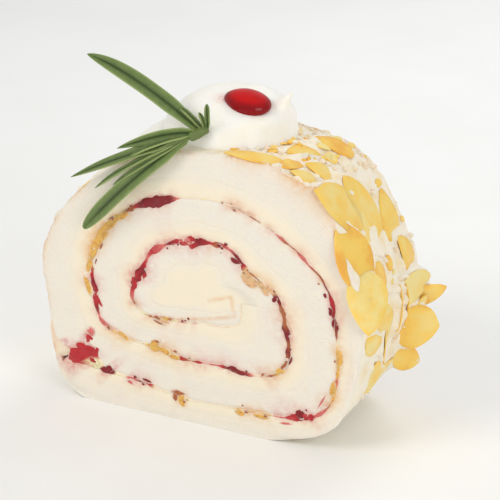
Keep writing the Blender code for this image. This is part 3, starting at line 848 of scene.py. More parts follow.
@dataclass
class Ribbon:
    """A band wound in the section, as deep as the slice: a grid of stations along it by points round it."""

    section: RollSection
    wind: Array
    outer: Array
    inner: Array
    y: Array
    across: Array

    @classmethod
    def wound(
        cls,
        section: RollSection,
        winds: Array,
        outer: Array,
        inner: Array,
        cells: tuple[int, int],
        rounding: tuple[float, float],
    ) -> "Ribbon":
        """Lays out the band's grid.

        Args:
            section: The roll's section.
            winds: The stations' winding angles.
            outer: The outer face's inset at each.
            inner: The inner face's inset at each.
            cells: How many cells lie across a cut face, and along a wound one.
            rounding: Over how many degrees the band rounds off at its first and last end.

        Returns:
            The ribbon. Round each station run the front face, the inner wall, the back
            face and the outer wall.
        """
        near_end = np.minimum((winds - winds[0]) / rounding[0], (winds[-1] - winds) / rounding[1])
        open_share = np.sqrt(1 - (1 - np.clip(near_end, 0.0, 1.0)) ** 2)
        middle, half = (outer + inner) / 2, (inner - outer) / 2 * open_share
        steps = np.linspace(0, 1, cells[0] + 1)
        face = steps - 0.11 * np.sin(TURN * steps)
        wall = np.linspace(-0.5, 0.5, cells[1] + 1)[1:-1] * section.depth
        edge = np.full(len(face), section.depth / 2)
        across = np.concatenate((face, np.ones(len(wall)), face[::-1], np.zeros(len(wall))))
        y = np.concatenate((-edge, wall, edge, wall[::-1]))
        columns = (winds[:, None], (middle - half)[:, None], (middle + half)[:, None])
        return cls(section, *columns, y[None, :], across[None, :])

    @property
    def side(self) -> Array:
        """-1 on the front face, 1 on the back face and 0 on the walls."""
        return np.where(np.abs(self.y) > self.section.depth / 2 - 1e-6, np.sign(self.y), 0.0)

    @property
    def inset(self) -> Array:
        """The inset of every point."""
        return self.outer + (self.inner - self.outer) * self.across

    def lipped(self, depths: tuple[Any, Any], reach: float) -> Array:
        """How far the cut face falls back towards its two edges: bells of these depths and this reach."""
        width = self.inner - self.outer
        outwards = depths[0] * bell(self.across * width, 0, reach)
        return outwards + depths[1] * bell((1 - self.across) * width, 0, reach)


# ---------------------------------------------------------------- almonds


@dataclass(frozen=True)
class Flake:
    """One flake of almond: its middle, its axes along, across and out as columns, and its sizes."""

    middle: Array
    axes: Array
    length: float
    width: float
    bend: float
    tone: float
    lying: bool

    def reach(self, places: Array) -> tuple[Array, Array]:
        """How places lie to the flake.

        Args:
            places: Places in the slice.

        Returns:
            The place's distance from the flake's middle as a share of its outline's there,
            and its height over the flake's middle plane.
        """
        local = (places - self.middle) @ self.axes
        angle = np.arctan2(local[..., 1] / self.width, local[..., 0] / self.length)
        taper = 0.25 + 0.8 * np.abs(np.sin(angle / 2)) ** 0.5
        share = np.hypot(2 * local[..., 0] / self.length, 2 * local[..., 1] / (self.width * taper))
        return share, local[..., 2] - self.bend * np.clip(2 * local[..., 0] / self.length, -1, 1) ** 2


@dataclass
class AlmondFlakes:
    """Flaked almonds baked on the roll's outside: large ones in their places, smaller ones between them."""

    section: RollSection
    large: tuple[tuple[float, ...], ...] = (
        (37, -11.5, 19.0, 13.0, 48, 3, 0, 0.6, 0.50),
        (31, -2.0, 20.0, 14.0, 12, 3, 0, 0.2, 0.45),
        (22, -14.5, 17.0, 12.5, 8, 3, -22, 0.4, 0.80),
        (7, -16.5, 15.0, 12.0, 150, 3, 34, 1.0, 0.30),
        (11.5, -7.0, 10.0, 7.0, 60, 8, 0, 0.5, 0.75),
        (23.5, 9.0, 14.0, 10.0, -15, 4, 0, 0.2, 0.65),
        (9.5, 10.5, 11.5, 8.5, 20, 5, 0, 0.4, 0.65),
        (53, 6.5, 10.5, 7.0, 15, 5, 0, 0.4, 0.85),
        (68, -15.0, 15.0, 6.5, 10, 3, 0, 0.2, 0.60),
        (57, -12.5, 9.0, 5.0, 80, 8, 0, 0.5, 0.75),
        (58, -4.0, 10.0, 6.5, 65, 6, 0, 0.3, 0.60),
        (48.5, -7.5, 9.0, 6.5, 30, 6, 0, 0.3, 0.40),
        (50, -14.0, 8.0, 5.5, 20, 6, 0, 0.2, 0.30),
        (-1, 10.5, 12.0, 9.5, -80, 16, 0, 0.7, 0.05),
        (-6, -6.0, 14.0, 10.0, 20, 5, -10, 0.3, 0.35),
        (-11, -12.0, 12.0, 8.0, 40, 5, -15, 0.2, 0.40),
        (-16, -2.0, 12.0, 8.0, 30, 5, 20, 0.3, 0.35),
        (-24, -7.0, 12.0, 7.0, 15, 5, -15, 0.2, 0.35),
        (-27, 3.0, 12.0, 8.0, 60, 5, -10, 0.2, 0.35),
        (-4, 1.5, 13.0, 8.0, 5, 5, 38, 0.6, 0.45),
        (-6, 4.5, 13.0, 7.5, -5, 5, 42, 0.6, 0.50),
        (-6, 15.5, 10.0, 8.0, -65, 50, 0, 0.5, 0.60),
        (-15, 11.5, 11.5, 13.0, -95, 45, 0, 0.5, 0.55),
        (-27, 12.0, 8.5, 7.5, -110, 44, 0, 0.5, 0.60),
    )
    seed: int = 11
    span: tuple[float, float] = (76.0, 203.0)
    rows: int = 9
    columns: int = 4
    length: float = 14.0
    width: float = 9.6
    lift: float = 0.2
    tilt: float = 3.0
    overhang: float = -2.2
    sink: float = 0.35
    lie_below: float = 10.0
    rosette_place: tuple[float, float] = (-0.1, 1.6)
    rosette_reach: float = 16.3
    skirt_place: tuple[float, float] = (-13.5, 1.0)
    skirt_reach: float = 15.0
    thickness: float = 0.4
    scrap_zones: tuple[tuple[float, float, float, float, int], ...] = (
        (46, 74, -10, 15, 46),
        (40, 52, -17, 2, 12),
        (-22, 48, -16, 16, 40),
        (76, 200, -14, 15, 26),
    )

    def laid(
        self,
        length: float,
        width: float,
        angle: float,
        along: float,
        turns: Sequence[float],
        bend: float,
        lift: float,
        tone: float,
    ) -> Flake:
        """Lays one flake on the roll's outside.

        Args:
            length: Its length.
            width: Its width.
            angle: The direction round the roll.
            along: The place along the roll's axis.
            turns: Its spin on the surface, how far it stands up, and its roll.
            bend: How far its ends rise over its middle.
            lift: How far it lies above the surface.
            tone: How toasted it is.

        Returns:
            The flake: spun about the surface's normal, then stood up from its foot.
        """
        wind = angle - self.section.tail_angle
        here = self.section.point(wind, 0.0)
        around = unit(np.insert(self.section.point(wind + 1.1, 0.0) - here, 1, 0.0))
        out = np.array((around[2], 0.0, -around[0]))
        axes = np.stack((around, np.cross(out, around), out), axis=1)
        axes = axes @ turning(2, turns[0]) @ turning(1, -turns[1]) @ turning(0, turns[2])
        middle = np.array((here[0], along, here[1]))
        raised = 0.42 * length * math.sin(math.radians(max(0.0, turns[1] - self.lie_below)))
        bump = float(self.section.outside_bump(middle))
        middle = middle + out * (bump + lift + 0.5 - self.sink + raised)
        return Flake(middle, axes, length, width, bend, tone, abs(turns[1]) + abs(turns[2]) < 30)

    def scattered(self) -> list[Flake]:
        """All the flakes: the large ones, then the smaller ones by a seeded rule on a shaken grid."""
        draw, tones = random.Random(self.seed), random.Random(self.seed + 1)
        flakes = []
        for angle, along, length, width, spin, stand, roll, lift, tone in self.large:
            bend = draw.uniform(-0.9, -0.2)
            flakes.append(self.laid(length, width, angle, along, (spin, stand, roll), bend, lift, tone))
        for row, column in itertools.product(range(self.rows), range(self.columns)):
            angle = self.span[0] + (self.span[1] - self.span[0]) * (row + draw.uniform(0.1, 0.9)) / self.rows
            along = ((column + 0.5 + draw.uniform(-0.4, 0.4)) / self.columns - 0.5) * self.section.depth
            size = draw.uniform(0.72, 1.08)
            spin = draw.uniform(0, 360)
            stand, roll = draw.uniform(-self.tilt, self.tilt), draw.uniform(-self.tilt, self.tilt)
            bend, lift = draw.uniform(-0.9, -0.4), draw.uniform(0.0, 1.0) * self.lift
            length, width = self.length * size, self.width * size
            turned = math.radians(spin)
            reach = math.hypot(width * math.cos(turned), length * math.sin(turned)) / 2
            room = self.section.depth / 2 + self.overhang - reach
            along = max(-room, min(room, along))
            x, z = self.section.point(angle - self.section.tail_angle, 0.0)
            away = math.hypot(x - self.rosette_place[0], along - self.rosette_place[1])
            on_top = z > self.section.centre_height + 0.6 * self.section.rise
            tone = tones.uniform(0.1, 0.7)
            from_skirt = math.hypot(x - self.skirt_place[0], along - self.skirt_place[1])
            near = away < self.rosette_reach + 0.36 * length or from_skirt < self.skirt_reach + 0.36 * length
            if not (on_top and near):
                flakes.append(self.laid(length, width, angle, along, (spin, stand, roll), bend, lift, tone))
        return flakes

    def blade(self, flake: Flake, seed: int) -> Shell:
        """One flake's surface.

        Args:
            flake: The flake.
            seed: Which ripples it has.

        Returns:
            A thin blade on rings round its middle, over its top, round its edge and back
            under it. Its outline is an ellipse, narrowed to a point at one end, and the
            whole bends along its length.
        """
        rings = np.array((0, 0.3, 0.55, 0.75, 0.9, 0.98, 1.0, 0.98, 0.9, 0.6, 0.3, 0))[:, None]
        levels = np.array((1, 1, 1, 1, 0.95, 0.6, 0, -0.6, -0.95, -1, -1, -1))[:, None]
        angle = np.linspace(0, TURN, 26, endpoint=False)[None, :]
        edge = np.stack(np.broadcast_arrays(np.cos(angle), np.sin(angle), float(seed)), axis=-1)
        ragged = 1 + 0.05 * rough(edge, 0.55, seed)
        taper = 1.05 * np.abs(np.sin(angle / 2)) ** 0.5
        x = flake.length / 2 * rings * ragged * np.cos(angle)
        y = flake.width / 2 * rings * ragged * np.sin(angle) * taper
        flat = np.stack((x, y, np.full(x.shape, 9.0 * seed)), axis=-1)
        z = levels * self.thickness / 2 + flake.bend * (2 * x / flake.length) ** 2 + 0.3 * rough(flat, 5.0, 8)
        places = flake.middle + np.stack((x, y, z), axis=-1) @ flake.axes.T
        lean = 0.12 * (x / flake.length) * (1 if seed % 2 else -1)
        return Shell.from_grid(places, {"tone": flake.tone + lean, "rim": rings**6})

    def scraps(self, sheet: "MeringueSheet", flakes: Sequence[Flake]) -> list[Flake]:
        """Broken bits of almond, by a seeded rule in each crumbly zone, laid on the bedded outside.

        Args:
            sheet: The sheet that they lie on.
            flakes: The flakes that it is bedded round.

        Returns:
            The scraps, as small flakes.
        """
        draw = random.Random(self.seed + 2)
        found = []
        for first, last, low, high, count in self.scrap_zones:
            for _ in range(count):
                angle, along = draw.uniform(first, last), draw.uniform(low, high)
                length = draw.uniform(1.6, 4.4)
                turns = (draw.uniform(0, 360), draw.uniform(-9, 9), draw.uniform(-22, 22))
                width, tone = length * draw.uniform(0.4, 0.8), draw.uniform(0.0, 0.9)
                scrap = self.laid(length, width, angle, along, turns, -0.1, 0.0, tone)
                plain, outwards, rise = sheet.ground(angle, along, flakes)
                if not on_a_flake(plain, flakes):
                    middle = plain + outwards * (rise + draw.uniform(0.0, 0.25))
                    found.append(replace(scrap, middle=middle))
        return found

    def build(self, flakes: Sequence[Flake]) -> bpy.types.Object:
        """Makes the flakes one piece."""
        shells = [self.blade(flake, number) for number, flake in enumerate(flakes)]
        finish = FlakedAlmond("sliced_baked_almond", 0.42, 0.25, 1.2, (1.0, 0.8, 0.4), relief_mm=0.1)
        return make_piece("almond_flakes", Shell.joined(shells), finish, "baked_meringue", "meringue_sheet")


def on_a_flake(place: Array, flakes: Sequence[Flake]) -> bool:
    """Whether a lying flake covers this place of the roll's outside."""
    near = (flake for flake in flakes if flake.lying and np.linalg.norm(place - flake.middle) < flake.length)
    return any(float(flake.reach(place)[0]) < 1.15 for flake in near)


# ---------------------------------------------------------------- the roll


@dataclass
class MeringueSheet:
    """The baked meringue sheet, wound nearly three and a half turns."""

    section: RollSection
    jam: JamLine
    face: CutFace
    step: float = 0.78
    cells: tuple[int, int] = (18, 36)
    rounding: tuple[float, float] = (5.0, 16.0)
    crackle: float = 0.22
    crackle_grain: float = 2.6
    crest: float = 0.12
    bed_most: float = 3.6
    smear_most: float = 1.4
    lumpy: float = 0.75
    lumpy_grain: float = 3.4
    lumpy_direction: float = 59.0
    lumpy_spread: float = 15.0
    skin: float = 1.2
    groove: float = 0.28
    outer_lip: float = 0.08
    rim: float = 0.7
    crack: tuple[tuple[float, float], ...] = (
        (-33.0, 13.5),
        (-30.4, 17.6),
        (-29.3, 19.2),
        (-25.3, 21.4),
        (-23.2, 20.5),
    )

    def bed(self, places: Array, outwards: Array, flakes: Sequence[Flake]) -> Array:
        """How far the meringue rises to hold the flakes.

        Args:
            places: Places on the plain outside.
            outwards: The direction out of the roll at each.
            flakes: The flakes.

        Returns:
            The most that any flake asks for: up to its underside beneath it, falling off
            beyond its outline, and here and there over its edge as a smear.
        """
        smears = smooth(rough(places, 3.0, 6, 2), -0.25, 0.4)
        bump = self.section.outside_bump(places)
        rise = np.zeros(places.shape[:-1])
        for flake in flakes:
            near = np.linalg.norm(places - flake.middle, axis=-1) < 0.75 * flake.length
            height = flake.reach(places[near])[1]
            above = -height / np.maximum(0.5, outwards[near] @ flake.axes[:, 2])
            share = flake.reach(places[near] + above[..., None] * outwards[near])[0]
            margin = 0.5 - 0.35 * smooth(share, 0.55, 0.95)
            under = np.clip(above - margin - bump[near], 0, self.bed_most)
            under = under * (1 - smooth(share, 1.0, 1.3))
            over = np.clip(above + 0.6 - bump[near], 0, self.smear_most)
            over = over * bell(share, 1.05, 0.14) * smears[near]
            rise[near] = np.maximum(rise[near], np.maximum(under, over if flake.lying else 0.0))
        return rise

    def ground(self, angle: float, along: float, flakes: Sequence[Flake]) -> tuple[Array, Array, float]:
        """The plain outside's place in this direction, the way out of the roll there, and its rise."""
        x, z = self.section.point(angle - self.section.tail_angle, 0.0)
        place = np.array((x, along, z))
        outwards = unit(np.array((x, 0.0, z - self.section.centre_height)))
        rise = float(self.bed(place[None], outwards[None], flakes)[0])
        return place, outwards, rise + float(self.section.outside_bump(place))

    def build(self, flakes: Sequence[Flake]) -> bpy.types.Object:
        """Makes the sheet: its band laid out, then its outside bedded round the flakes and crackled.

        Args:
            flakes: The flakes on its outside.

        Returns:
            The piece.
        """
        section = self.section
        winds = section.even_winds(0.0, section.sheet_end, self.step, section.sheet_middle)
        tucked = smooth(winds, *section.tuck)
        outer = np.where(winds > section.tuck[0], (section.jam_inset(winds - 360) + 0.1) * tucked, 0.0)
        beyond_jam = winds - 360 > section.jam_end
        outer = np.where(beyond_jam, section.sheet_outer(winds), outer)
        band = Ribbon.wound(section, winds, outer, section.sheet_inner(winds), self.cells, self.rounding)
        plain = section.point(band.wind, band.inset)
        x, z = plain[..., 0], plain[..., 1]
        y = np.broadcast_to(band.y, x.shape)
        places = np.stack((x, y, z), axis=-1)

        outside = np.where(band.wind < section.tuck[1], np.exp(-band.inset / self.skin), 0.0)
        spoke = unit(np.stack((x, 0 * x, z - section.centre_height), axis=-1))
        skin = (band.across < 0.5) & (outside > 0.05)
        rise = np.zeros(x.shape)
        rise[skin] = self.bed(places[skin], spoke[skin], flakes)
        above_base = smooth(z, 1.5, 6.0)
        crackle = self.crackle * rough(places, self.crackle_grain, 2, 2)
        upper_right = bell(section.direction(x, z), self.lumpy_direction, self.lumpy_spread)
        lumps = self.lumpy * upper_right * rough(places, self.lumpy_grain, 27, 3)
        bump = section.outside_bump(places) + above_base * (rise + crackle + lumps)
        places = places + spoke * (outside * bump)[..., None]

        lips = (np.where(band.wind > section.tuck[1], self.groove, 0.0), self.outer_lip)
        relief = self.face.relief(x, z, band.side) + self.crest - band.lipped(lips, 0.5)
        rim = self.rim * bell(band.inset, 0, self.rim) * (band.wind < section.tuck[1])
        places[..., 1] += band.side * (relief - rim) * smooth(z, 0.0, 1.5)

        thickness = band.inner - band.outer
        seam = smooth((1 - band.across) * thickness, 2.2, 0.0)
        stains = self.jam.stains(band.wind, band.inset, places)
        wall = np.where(band.side == 0, outside, 0.0) * (band.across < 0.5)
        browned = smooth(rough(places, 7.0, 9), -0.5, 0.6) * outside * smooth(z - 0.4 * x, 20, 50)
        crack = near_line(x, z, self.crack, 0.9) * (band.side < 0)
        syrup = 0.7 * browned + self.jam.looped(x, z, band.side)
        values = {
            "warmth": 0.4 * seam,
            "pink": np.maximum(stains["pink"] * (1 - wall), crack),
            "amber": np.maximum(stains["amber"], syrup) * (1 - wall),
            "crust": wall,
        }
        finish = BakedMeringue(
            "baked_whisked_meringue", 0.6, 0.15, 0.6, (1.0, 0.85, 0.65), 0.35, relief_mm=0.12
        )
        shell = Shell.from_grid(places, values)
        return make_piece("meringue_roll", shell, finish, "baked_meringue", "meringue_sheet")


@dataclass
class MeringueCrumbs:
    """Crumbs broken from the sheet, lying round the flakes and where the top is rough."""

    sheet: MeringueSheet
    round_flakes: int = 230
    rough_zone: tuple[float, float, float, float, int] = (40.0, 76.0, -16.0, 16.5, 170)
    sizes: tuple[float, float] = (0.5, 1.9)
    seed: int = 17

    def spots(self, flakes: Sequence[Flake]) -> list[tuple[float, float]]:
        """Where they lie.

        Args:
            flakes: The flakes.

        Returns:
            Directions round the roll and places along it: by a seeded rule just beyond
            the flakes' rims, then all over the rough zone.
        """
        draw = random.Random(self.seed)
        spots = []
        for _ in range(self.round_flakes):
            flake, turned = draw.choice(flakes), draw.uniform(0, TURN)
            away = draw.uniform(0.95, 1.35)
            rim = np.array((flake.length * math.cos(turned), flake.width * math.sin(turned), 0.0)) / 2
            place = flake.middle + flake.axes @ (away * rim)
            spots.append((float(self.sheet.section.direction(place[0], place[2])), float(place[1])))
        first, last, low, high, count = self.rough_zone
        spots += [(draw.uniform(first, last), draw.uniform(low, high)) for _ in range(count)]
        return [(angle, along) for angle, along in spots if abs(along) < self.sheet.section.depth / 2 - 0.8]

    def build(self, flakes: Sequence[Flake]) -> bpy.types.Object:
        """Makes the crumbs: balls of few faces, flattened a little and shaken by noise, half sunk.

        Args:
            flakes: The flakes.

        Returns:
            The piece.
        """
        draw, ball = random.Random(self.seed + 1), unit_ball(7, 8)
        shells = []
        for number, (angle, along) in enumerate(self.spots(flakes)):
            place, outwards, rise = self.sheet.ground(angle, along, flakes)
            if on_a_flake(place, flakes):
                continue
            size = draw.uniform(*self.sizes) * draw.uniform(0.6, 1.0)
            lump = ball * (1 + 0.5 * rough(ball + 5.0 * number, 0.8, 26))[..., None]
            lump = lump @ turning(2, draw.uniform(0, 360)).T * (0.5 * size * np.array((1.3, 1.0, 0.85)))
            places = place + outwards * (rise + 0.12 * size) + lump
            tint = {"pink": 0.25 * draw.random() ** 3, "amber": 0.5 * draw.random() ** 2}
            values = {"warmth": draw.random(), **tint, "crust": draw.random()}
            shells.append(Shell.from_grid(places, values))
        finish = BakedMeringue(
            "crumbled_baked_meringue", 0.65, 0.1, 0.5, (1.0, 0.85, 0.65), 0.3, relief_mm=0.08
        )
        return make_piece("meringue_crumbs", Shell.joined(shells), finish, "baked_meringue")


@dataclass
class CreamFilling:
    """The whipped cream: spread along the sheet, and gathered in the core."""

    section: RollSection
    jam: JamLine
    face: CutFace
    step: float = 0.8
    cells: tuple[int, int] = (12, 8)
    rounding: tuple[float, float] = (6.0, 12.0)
    tucked: float = 1.2
    reach_in: float = 30.0
    crest: float = 0.1
    tail: tuple[float, float] = (-3.0, 11.0)

    def band(self) -> Shell:
        """The spread cream, between the sheet's inner face and the jam."""
        section = self.section
        first, last = section.jam_start + 6, section.jam_end + self.reach_in
        winds = section.even_winds(first, last, self.step, section.jam_inset)
        past = np.maximum(0.0, winds - section.jam_end)
        inner = section.jam_inset(np.minimum(winds, section.jam_end)) + 0.15 + 0.12 * past
        outer = np.minimum(section.sheet_inner(winds) - self.tucked, inner - 0.4)
        ribbon = Ribbon.wound(section, winds, outer, inner, self.cells, self.rounding)
        plain = section.point(ribbon.wind, ribbon.inset)
        x, z = plain[..., 0], plain[..., 1]
        relief = self.face.relief(x, z, ribbon.side) + self.crest - ribbon.lipped((0.22, 0.25), 0.8)
        places = np.stack((x, ribbon.y + ribbon.side * relief, z), axis=-1)
        stains = self.jam.stains(ribbon.wind, ribbon.inset, places)
        below = ribbon.across * (ribbon.inner - ribbon.outer)
        warmth = 0.4 + 0.6 * smooth(below, self.tucked, self.tucked + 2.0)
        return Shell.from_grid(places, {"warmth": warmth, **stains})

    def lip(self) -> Shell:
        """The cream squeezed out at the sheet's tail, which closes the jam's end."""
        section = self.section
        winds = section.even_winds(*self.tail, 0.4, section.jam_inset)
        outer = np.full(winds.shape, 0.5)
        inner = section.jam_faces(winds)[1] + 0.6
        ribbon = Ribbon.wound(section, winds, outer, inner, self.cells, (2.5, 2.5))
        plain = section.point(ribbon.wind, ribbon.inset)
        x, z = plain[..., 0], plain[..., 1]
        relief = self.face.relief(x, z, ribbon.side) + 0.05 - ribbon.lipped((0.1, 0.1), 0.6)
        relief = relief - 0.5 * smooth(ribbon.wind, 8.5, 10.5)
        places = np.stack((x, ribbon.y + ribbon.side * relief, z), axis=-1)
        rosy = 0.5 * smooth(rough(places, 2.0, 25), 0.0, 0.8)
        return Shell.from_grid(places, {"warmth": 0.5, "pink": rosy, "amber": 0.25})

    def core(self) -> Shell:
        """The core: a disc on rings round the section's centre, dipping under the sheet to the jam."""
        section = self.section
        turns = np.linspace(0, 360, 180, endpoint=False)[None, :]
        wind = section.jam_end + turns
        direction = section.tail_angle + wind
        edge = section.radius(direction, section.sheet_outer(wind) + 0.5)
        widest = section.radius(direction, section.sheet_outer(section.jam_end) + 0.5)
        edge = edge + (widest - edge) * smooth(turns, 300, 345)
        inner = section.radius(direction, section.sheet_inner(wind))
        sheet = section.radius(direction, section.sheet_outer(wind))
        inner = inner + (sheet - inner) * smooth(turns, 338, 350)
        rings, half = 48, section.depth / 2
        wall = np.linspace(-half, half, 10)[1:-1]
        out = np.linspace(0, 1, rings)
        shares = np.concatenate((out, np.ones(len(wall)), out[::-1]))[:, None]
        y = np.concatenate((np.full(rings, -half), wall, np.full(rings, half)))[:, None]
        side = np.where(np.abs(y) > half - 1e-6, np.sign(y), 0.0)
        turned = np.radians(direction)
        x = edge * shares * np.cos(turned)
        z = section.centre_height + edge * shares * np.sin(turned)
        beyond = edge * shares - inner
        relief = self.face.relief(x, z, side) + self.crest + 0.03 - 0.38 * smooth(beyond, -0.5, 1.2)
        places = np.stack((x, y + side * relief, z), axis=-1)
        warm = 0.4 + 0.6 * smooth(-beyond, 0, 2.5)
        return Shell.from_grid(places, {"warmth": warm, "pink": 0.0, "amber": self.jam.looped(x, z, side)})

    def build(self) -> bpy.types.Object:
        """Makes the filling one piece."""
        finish = WhippedCream("spread_whipped_cream", 0.5, 0.15, 0.6, (1.0, 0.85, 0.6), 0.4, relief_mm=0.08)
        shell = Shell.joined((self.band(), self.lip(), self.core()))
        return make_piece("cream_spiral", shell, finish, "cream_filling", "cream_filling")


@dataclass
class JamLayer:
    """The jam: an uneven wet bead along its line."""

    section: RollSection
    jam: JamLine
    face: CutFace
    step: float = 0.4
    cells: tuple[int, int] = (8, 6)
    rounding: tuple[float, float] = (6.0, 6.0)
    first: float = 8.5
    ragged: float = 0.3
    ragged_grain: float = 1.8
    blob: float = 0.4
    blob_grain: float = 3.0
    thins_over: float = 0.2

    def build(self, bits: Sequence[Shell]) -> bpy.types.Object:
        """Makes the jam: a ribbon whose edges wander and swell into blobs, with lumpy cut faces.

        Args:
            bits: The pieces of almond and fruit caught in it.

        Returns:
            The piece.
        """
        section = self.section
        winds = section.even_winds(self.first, section.jam_end, self.step, section.jam_inset)
        outer, inner = section.jam_faces(winds)
        ribbon = Ribbon.wound(section, winds, outer, inner, self.cells, self.rounding)
        on_line = section.point(ribbon.wind, ribbon.outer)
        side = ribbon.side
        where = np.stack(np.broadcast_arrays(on_line[..., 0], side * 60.0, on_line[..., 1]), axis=-1)
        thickness = ribbon.inner - ribbon.outer
        wander = self.ragged * rough(where, self.ragged_grain * 1.7, 12)
        swell = self.ragged * (0.4 + 0.5 * thickness) * rough(where, self.ragged_grain, 13, 2)
        red = self.jam.share(ribbon.wind, Filling.RED, Filling.DARK, Filling.ROSE)
        blobs = self.blob * red * smooth(rough(where, self.blob_grain, 24), -0.2, 0.6)
        swell = np.maximum(swell, -0.1) + blobs - 0.1 * self.jam.share(ribbon.wind, Filling.PALE)
        inset = ribbon.inset + np.abs(side) * (wander + swell * (2 * ribbon.across - 1))
        plain = section.point(ribbon.wind, inset)
        x, z = plain[..., 0], plain[..., 1]
        flat = np.stack(np.broadcast_arrays(x, side * 60.0, z), axis=-1)
        lump = section.swells(ribbon.wind, section.lumps)
        round_off = 1 - (2 * ribbon.across - 1) ** 4
        relief = self.face.relief(x, z, side) - 0.05 + round_off * (0.08 + 0.22 * np.minimum(lump, 1.5))
        relief = relief + (0.06 + 0.16 * np.minimum(lump, 1.5)) * rough(flat, 1.3, 14, 2)
        places = np.stack((x, ribbon.y + side * relief, z), axis=-1)
        strayed = ribbon.wind + 5.0 * rough(flat, 2.5, 15)
        from_edge = np.minimum(ribbon.across, 1 - ribbon.across) * np.maximum(thickness + 2 * swell, 0.2)
        watery = 0.1 * self.jam.share(strayed, Filling.BROWN, Filling.ROSE)
        watery = watery + 0.25 * self.jam.share(strayed, Filling.PALE)
        thin = bell(from_edge, 0, self.thins_over) + watery
        shell = Shell.joined((Shell.from_grid(places, {**self.jam.laid(strayed), "thin": thin}), *bits))
        finish = RedJam("cooked_berry_jam", 0.38, 0.2, 0.6, (1.0, 0.25, 0.15), 0.35, 0.12, 0.2, 0.2)
        return make_piece("jam_line", shell, finish, "red_jam", "jam_layer")


